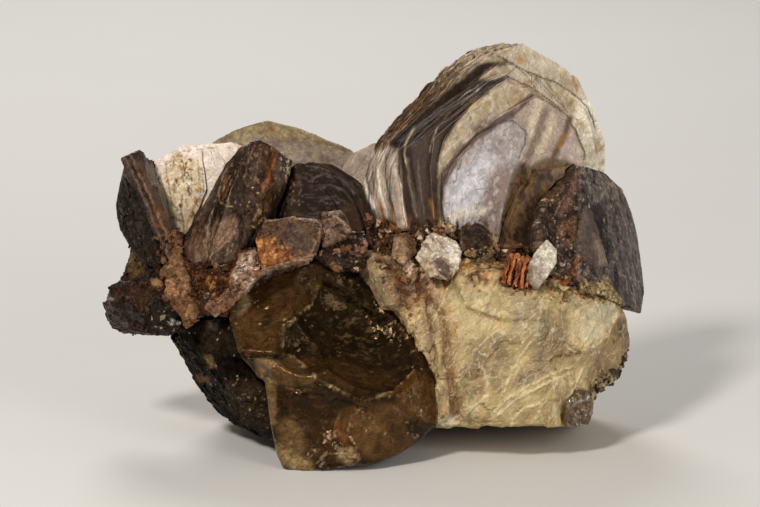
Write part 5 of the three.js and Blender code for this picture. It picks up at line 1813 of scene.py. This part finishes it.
def rusty_top(block):
    """Rust where the mica stands on the feldspar."""
    rusty_corner = [(392, 268), (414, 258), (440, 280), (434, 298), (418, 304), (402, 306), (394, 290)]
    block.zone(rusty_corner, (112, 78, 48), 6)
    corner = block.patch(rusty_corner, 5)
    block.specks((176, 132, 86), 1.4, 0.3, corner, seed=21)
    block.specks((66, 40, 24), 1.3, 0.3, corner, seed=23)
    block.zones([
        ((62, 35, 20), 4, [(402, 276), (416, 280), (430, 276), (428, 290), (410, 298), (400, 290)], 0.8),
        ((72, 48, 30), 3, [(390, 262), (404, 266), (404, 276), (392, 274)], 0.8),
    ])
    chip = [(405, 261), (412, 260), (417, 270), (415, 278), (409, 277), (404, 270)]
    block.zone(chip, (232, 206, 178), 1.2)
    block.lift(chip, 0.6, 2)
    at_left = block.left_of(470, 60)
    ragged = block.at[:, 1] + 14 * rough(block.points, 4, 3, 41)
    top = smooth((300 - ragged) / 22) * (1 - 0.75 * at_left)
    block.specks((158, 104, 54), 2.4, 0.36, top, seed=5, share=0.9)
    block.specks((92, 56, 32), 1.5, 0.22, top, seed=7)
    block.specks((206, 164, 112), 1.4, 0.2, top, seed=9)
    under = block.left_of(366, 20) * smooth((330 - ragged) / 20)
    under = under * smooth((16 - block.points[:, 1]) / 8)
    block.specks((92, 60, 38), 2.6, 0.6, under, seed=11)
    block.shine = np.maximum(np.maximum(top * 0.8, under), block.within(rusty_corner, 6))


def feldspar_matrix():
    block = carved("feldspar_matrix", 0.5, (176, 154, 108))
    carve_feldspar(block)
    cream_mosaic(block)
    rusty_top(block)

    # Crust along the lower right edge
    crust = [(588, 392), (604, 378), (622, 362), (634, 356), (628, 380), (604, 398)]
    block.specks((34, 24, 18), 1.4, 0.55, block.within(crust, 3), seed=13)
    return block.build("feldspar_matrix_surface", "feldspar", FELDSPAR)


# Crumbs and flakes that fill the joints between the crystals


RUSTY = [(132, 80, 42), (92, 54, 30), (168, 112, 64), (58, 38, 26), (196, 158, 116)]
EARTHY = [(104, 72, 50), (66, 44, 32), (146, 110, 82), (48, 34, 26), (122, 78, 46)]
PINKISH = [(168, 134, 114), (206, 184, 168), (128, 92, 72), (150, 98, 60), (92, 62, 48)]
CREAMY = [(196, 166, 122), (172, 138, 92), (150, 108, 66), (206, 184, 150)]
VIOLET = [(84, 72, 74), (120, 104, 102), (52, 42, 44), (168, 152, 146), (110, 78, 54)]
BLACKISH = [(36, 26, 20), (58, 42, 30), (24, 18, 14), (90, 66, 46)]

# Where crumbs lie, as seen from the front: tones, how many, smallest and largest, outline
CRUMB_BEDS = [
    (RUSTY, 380, 0.3, 2.2, [
        (378, 216), (402, 230), (432, 220), (456, 214), (456, 232), (452, 262), (452, 288), (432, 292),
        (404, 304), (388, 288), (376, 250),
    ]),
    (CREAMY, 110, 0.4, 2.0, [(456, 250), (500, 246), (506, 280), (486, 294), (456, 286)]),
    (RUSTY, 220, 0.3, 2.0, [
        (496, 244), (540, 244), (554, 264), (586, 276), (602, 290), (592, 300), (560, 304), (530, 296),
        (500, 294),
    ]),
    (VIOLET, 110, 0.3, 1.6, [(546, 236), (580, 236), (584, 288), (548, 288)]),
    (CREAMY, 130, 0.3, 1.6, [
        (574, 288), (584, 280), (596, 282), (606, 274), (614, 290), (626, 306), (600, 304),
    ]),
    (EARTHY, 260, 0.3, 2.2, [
        (150, 222), (184, 240), (206, 252), (250, 236), (262, 262), (240, 290), (214, 312), (190, 330),
        (176, 310), (160, 276),
    ]),
    (BLACKISH, 90, 0.3, 1.6, [(112, 278), (140, 252), (180, 262), (182, 334), (120, 334), (104, 304)]),
    (PINKISH, 100, 0.3, 1.5, [
        (196, 293), (222, 284), (238, 265), (256, 256), (268, 264), (250, 284), (204, 314),
    ]),
    (PINKISH, 110, 0.3, 1.8, [
        (252, 212), (330, 208), (372, 214), (384, 262), (376, 282), (330, 264), (250, 262),
    ]),
    (EARTHY, 90, 0.3, 1.4, [(346, 262), (364, 262), (398, 302), (418, 326), (404, 300), (380, 274)]),
    (RUSTY, 60, 0.3, 0.8, [
        (392, 296), (416, 322), (440, 368), (444, 424), (436, 424), (430, 378), (404, 326),
    ]),
    (BLACKISH, 90, 0.4, 1.6, [(586, 384), (612, 366), (632, 344), (640, 360), (622, 386), (596, 402)]),
    (BLACKISH, 60, 0.3, 0.9, [(116, 196), (128, 178), (150, 230), (180, 282), (150, 276), (114, 226)]),
]

# Larger broken flakes: where each one is seen, its size and tone. The last three, pale blue-grey
# by the left knob, are painted glints
FRAGMENTS = [
    ((428, 232), 2.2, (214, 196, 178)), ((422, 238), 1.6, (206, 190, 168)),
    ((409, 262), 2.6, (232, 206, 180)), ((413, 272), 2.2, (220, 186, 156)),
    ((404, 268), 1.6, (196, 160, 126)), ((380, 236), 1.8, (210, 186, 156)),
    ((389, 228), 1.8, (226, 210, 186)), ((394, 248), 2.2, (158, 126, 100)),
    ((446, 226), 2.0, (186, 152, 118)), ((398, 286), 2.6, (150, 108, 74)),
    ((386, 276), 2.0, (168, 136, 100)), ((494, 262), 2.2, (206, 160, 122)),
    ((500, 270), 1.8, (176, 112, 74)), ((562, 264), 1.6, (232, 214, 204)),
    ((556, 250), 2.0, (112, 92, 86)), ((566, 246), 1.6, (96, 80, 76)),
    ((564, 284), 2.2, (142, 78, 42)), ((574, 282), 1.6, (112, 64, 38)),
    ((534, 286), 2.0, (150, 130, 112)), ((540, 280), 1.8, (176, 150, 122)),
    ((256, 272), 1.6, (236, 216, 200)), ((248, 270), 2.0, (216, 190, 172)),
    ((240, 262), 1.8, (196, 164, 142)), ((252, 262), 1.4, (226, 204, 188)),
    ((158, 284), 1.8, (186, 142, 104)), ((162, 316), 1.6, (150, 138, 112)),
    ((174, 320), 1.4, (140, 136, 132)), ((342, 264), 1.8, (176, 146, 116)),
    ((356, 268), 2.0, (190, 158, 128)), ((374, 256), 1.6, (196, 160, 136)),
    ((362, 252), 1.8, (150, 110, 90)), ((370, 216), 1.6, (120, 78, 46)),
    ((498, 250), 2.6, (206, 164, 124)), ((494, 244), 1.8, (160, 112, 74)),
    ((504, 252), 1.8, (226, 190, 150)), ((152, 318), 1.0, (176, 172, 166)),
    ((168, 322), 1.2, (150, 152, 158)), ((178, 324), 1.0, (186, 182, 176)),
]

# A crumb is a cube with its corners moved: corners and faces
CUBE = np.array(list(itertools.product((-1, 1), repeat=3)), float)
CUBE_FACES = [(0, 1, 3, 2), (4, 6, 7, 5), (0, 4, 5, 1), (2, 3, 7, 6), (0, 2, 6, 4), (1, 5, 7, 3)]


def in_sight(pieces, clean):
    """Points, normals and colours of the surface that nothing hides from the front. The clean
    crystals only hide what is behind them."""
    held = pieces + clean
    points = np.vstack([piece.points for piece in held])
    normals = np.vstack([piece.normals() for piece in held])
    tones = np.vstack([piece.paint_layer for piece in held])
    dusty = np.arange(len(points)) < sum(len(piece.points) for piece in pieces)
    cells = np.floor(seen_at(points) / SIGHT_CELL).astype(np.int64)
    cells = cells[:, 0] + SIGHT_ROW * cells[:, 1]
    nearest = np.full(cells.max() + 1, 1e9)
    np.minimum.at(nearest, cells, points[:, 1])
    kept = (points[:, 1] < nearest[cells] + SIGHT_DEPTH) & dusty
    return points[kept], normals[kept], tones[kept]


def random_turns(count, source):
    """Rotation matrices that point every way."""
    quaternion = source.normal(size=(count, 4))
    w, x, y, z = (quaternion / np.linalg.norm(quaternion, axis=1)[:, None]).T
    return np.stack([
        np.stack([1 - 2 * (y * y + z * z), 2 * (x * y - z * w), 2 * (x * z + y * w)], axis=1),
        np.stack([2 * (x * y + z * w), 1 - 2 * (x * x + z * z), 2 * (y * z - x * w)], axis=1),
        np.stack([2 * (x * z - y * w), 2 * (y * z + x * w), 1 - 2 * (x * x + y * y)], axis=1),
    ], axis=1)


def chips(centres, sizes, source):
    """Corners of broken chips, eight for each centre."""
    count = len(centres)
    shapes = CUBE * source.uniform([0.5, 0.35, 0.2], [1, 0.8, 0.5], (count, 3))[:, None, :] * 0.5
    shapes = shapes + source.uniform(-0.2, 0.2, (count, 8, 3))
    shapes = np.einsum("nij,nkj->nki", random_turns(count, source), shapes) * sizes[:, None, None]
    return shapes + centres[:, None, :]


def crumbs(pieces, clean):
    """Small broken chips that sit half sunk in the surface under them."""
    source = np.random.default_rng(CRUMB_SEED)
    points, normals, host_tones = in_sight(pieces, clean)
    at = seen_at(points)
    corners, tones = [], []
    for palette, count, smallest, largest, bed in CRUMB_BEDS:
        chosen = source.choice(np.flatnonzero(inside(at, bed)), count)
        sizes = smallest + (largest - smallest) * source.random(count) ** 3
        shades = np.array([colour(*palette[k]) for k in source.integers(len(palette), size=count)])
        mixed = (1 - HOST_SHARE) * shades + HOST_SHARE * host_tones[chosen]
        shades = mixed * source.uniform(0.6, 1.2, count)[:, None]
        corners.append(chips(points[chosen] + normals[chosen] * CRUMB_HEIGHT, sizes, source))
        tones.append(shades)
    spots = [np.argmin(np.linalg.norm(at - place, axis=1)) for place, _, _ in FRAGMENTS]
    sizes = np.array([size for _, size, _ in FRAGMENTS])
    corners.append(chips(points[spots] + normals[spots] * FRAGMENT_HEIGHT, sizes, source))
    tones.append(np.array([colour(*tone) for _, _, tone in FRAGMENTS]))
    corners = np.vstack(corners).reshape(-1, 3)
    faces = [tuple(start + k for k in face) for start in range(0, len(corners), 8) for face in CUBE_FACES]
    broken = Piece(corners, faces, (120, 80, 50))
    broken.paint_layer = np.repeat(np.vstack(tones), 8, axis=0)
    broken.build("contact_crumbs", "rust_stained_mica", SCALY_MICA)


# Stage, light and camera


def studio():
    bpy.ops.mesh.primitive_plane_add(size=FLOOR_SIZE, location=FLOOR_PLACE)
    floor = bpy.context.object
    floor.name = "floor"
    floor.data.materials.append(floor_finish())

    world = bpy.data.worlds.new("studio")
    world.use_nodes = True
    backdrop = world.node_tree.nodes["Background"]
    backdrop.inputs["Color"].default_value = BACKDROP
    backdrop.inputs["Strength"].default_value = BACKDROP_STRENGTH
    bpy.context.scene.world = world

    for row in LAMPS:
        lamp(*row)


def lamp(name, place, size, power, tone):
    data = bpy.data.lights.new(name, "AREA")
    data.shape = "DISK"
    data.size = size
    data.energy = power
    data.color = tone
    light = bpy.data.objects.new(name, data)
    light.location = place
    aim = Vector(LAMP_AIM) - Vector(place)
    light.rotation_euler = aim.to_track_quat("-Z", "Y").to_euler()
    bpy.context.scene.collection.objects.link(light)


def front_camera():
    data = bpy.data.cameras.new("front")
    data.lens = LENS
    data.sensor_width = SENSOR
    data.clip_end = FAR_CLIP
    camera = bpy.data.objects.new("front", data)
    eye = np.array([[EYE_AIM[0], -EYE_DISTANCE, EYE_AIM[1]]])
    camera.location = to_world(eye)[0]
    camera.rotation_euler = (math.pi / 2 - REST_TILT, 0, 0)
    bpy.context.scene.collection.objects.link(camera)
    bpy.context.scene.camera = camera


front_camera()
studio()
clean = [
    pale_book(), round_book(), rear_book(), saddle_book(), fan_book(), silver_book(), white_flake(),
    rust_book(), lilac_lump(), tooth_crystal(), centre_slab(), smoky_quartz(), dark_flank(),
    clear_nub(),
]
dusty = [
    tall_book(), right_book(), edge_book(), dark_knob(), dark_crystal(), pink_crust(), brown_mass(),
    left_knob(), feldspar_matrix(),
]
crumbs(dusty, clean)

bpy.context.scene.view_settings.view_transform = "Standard"
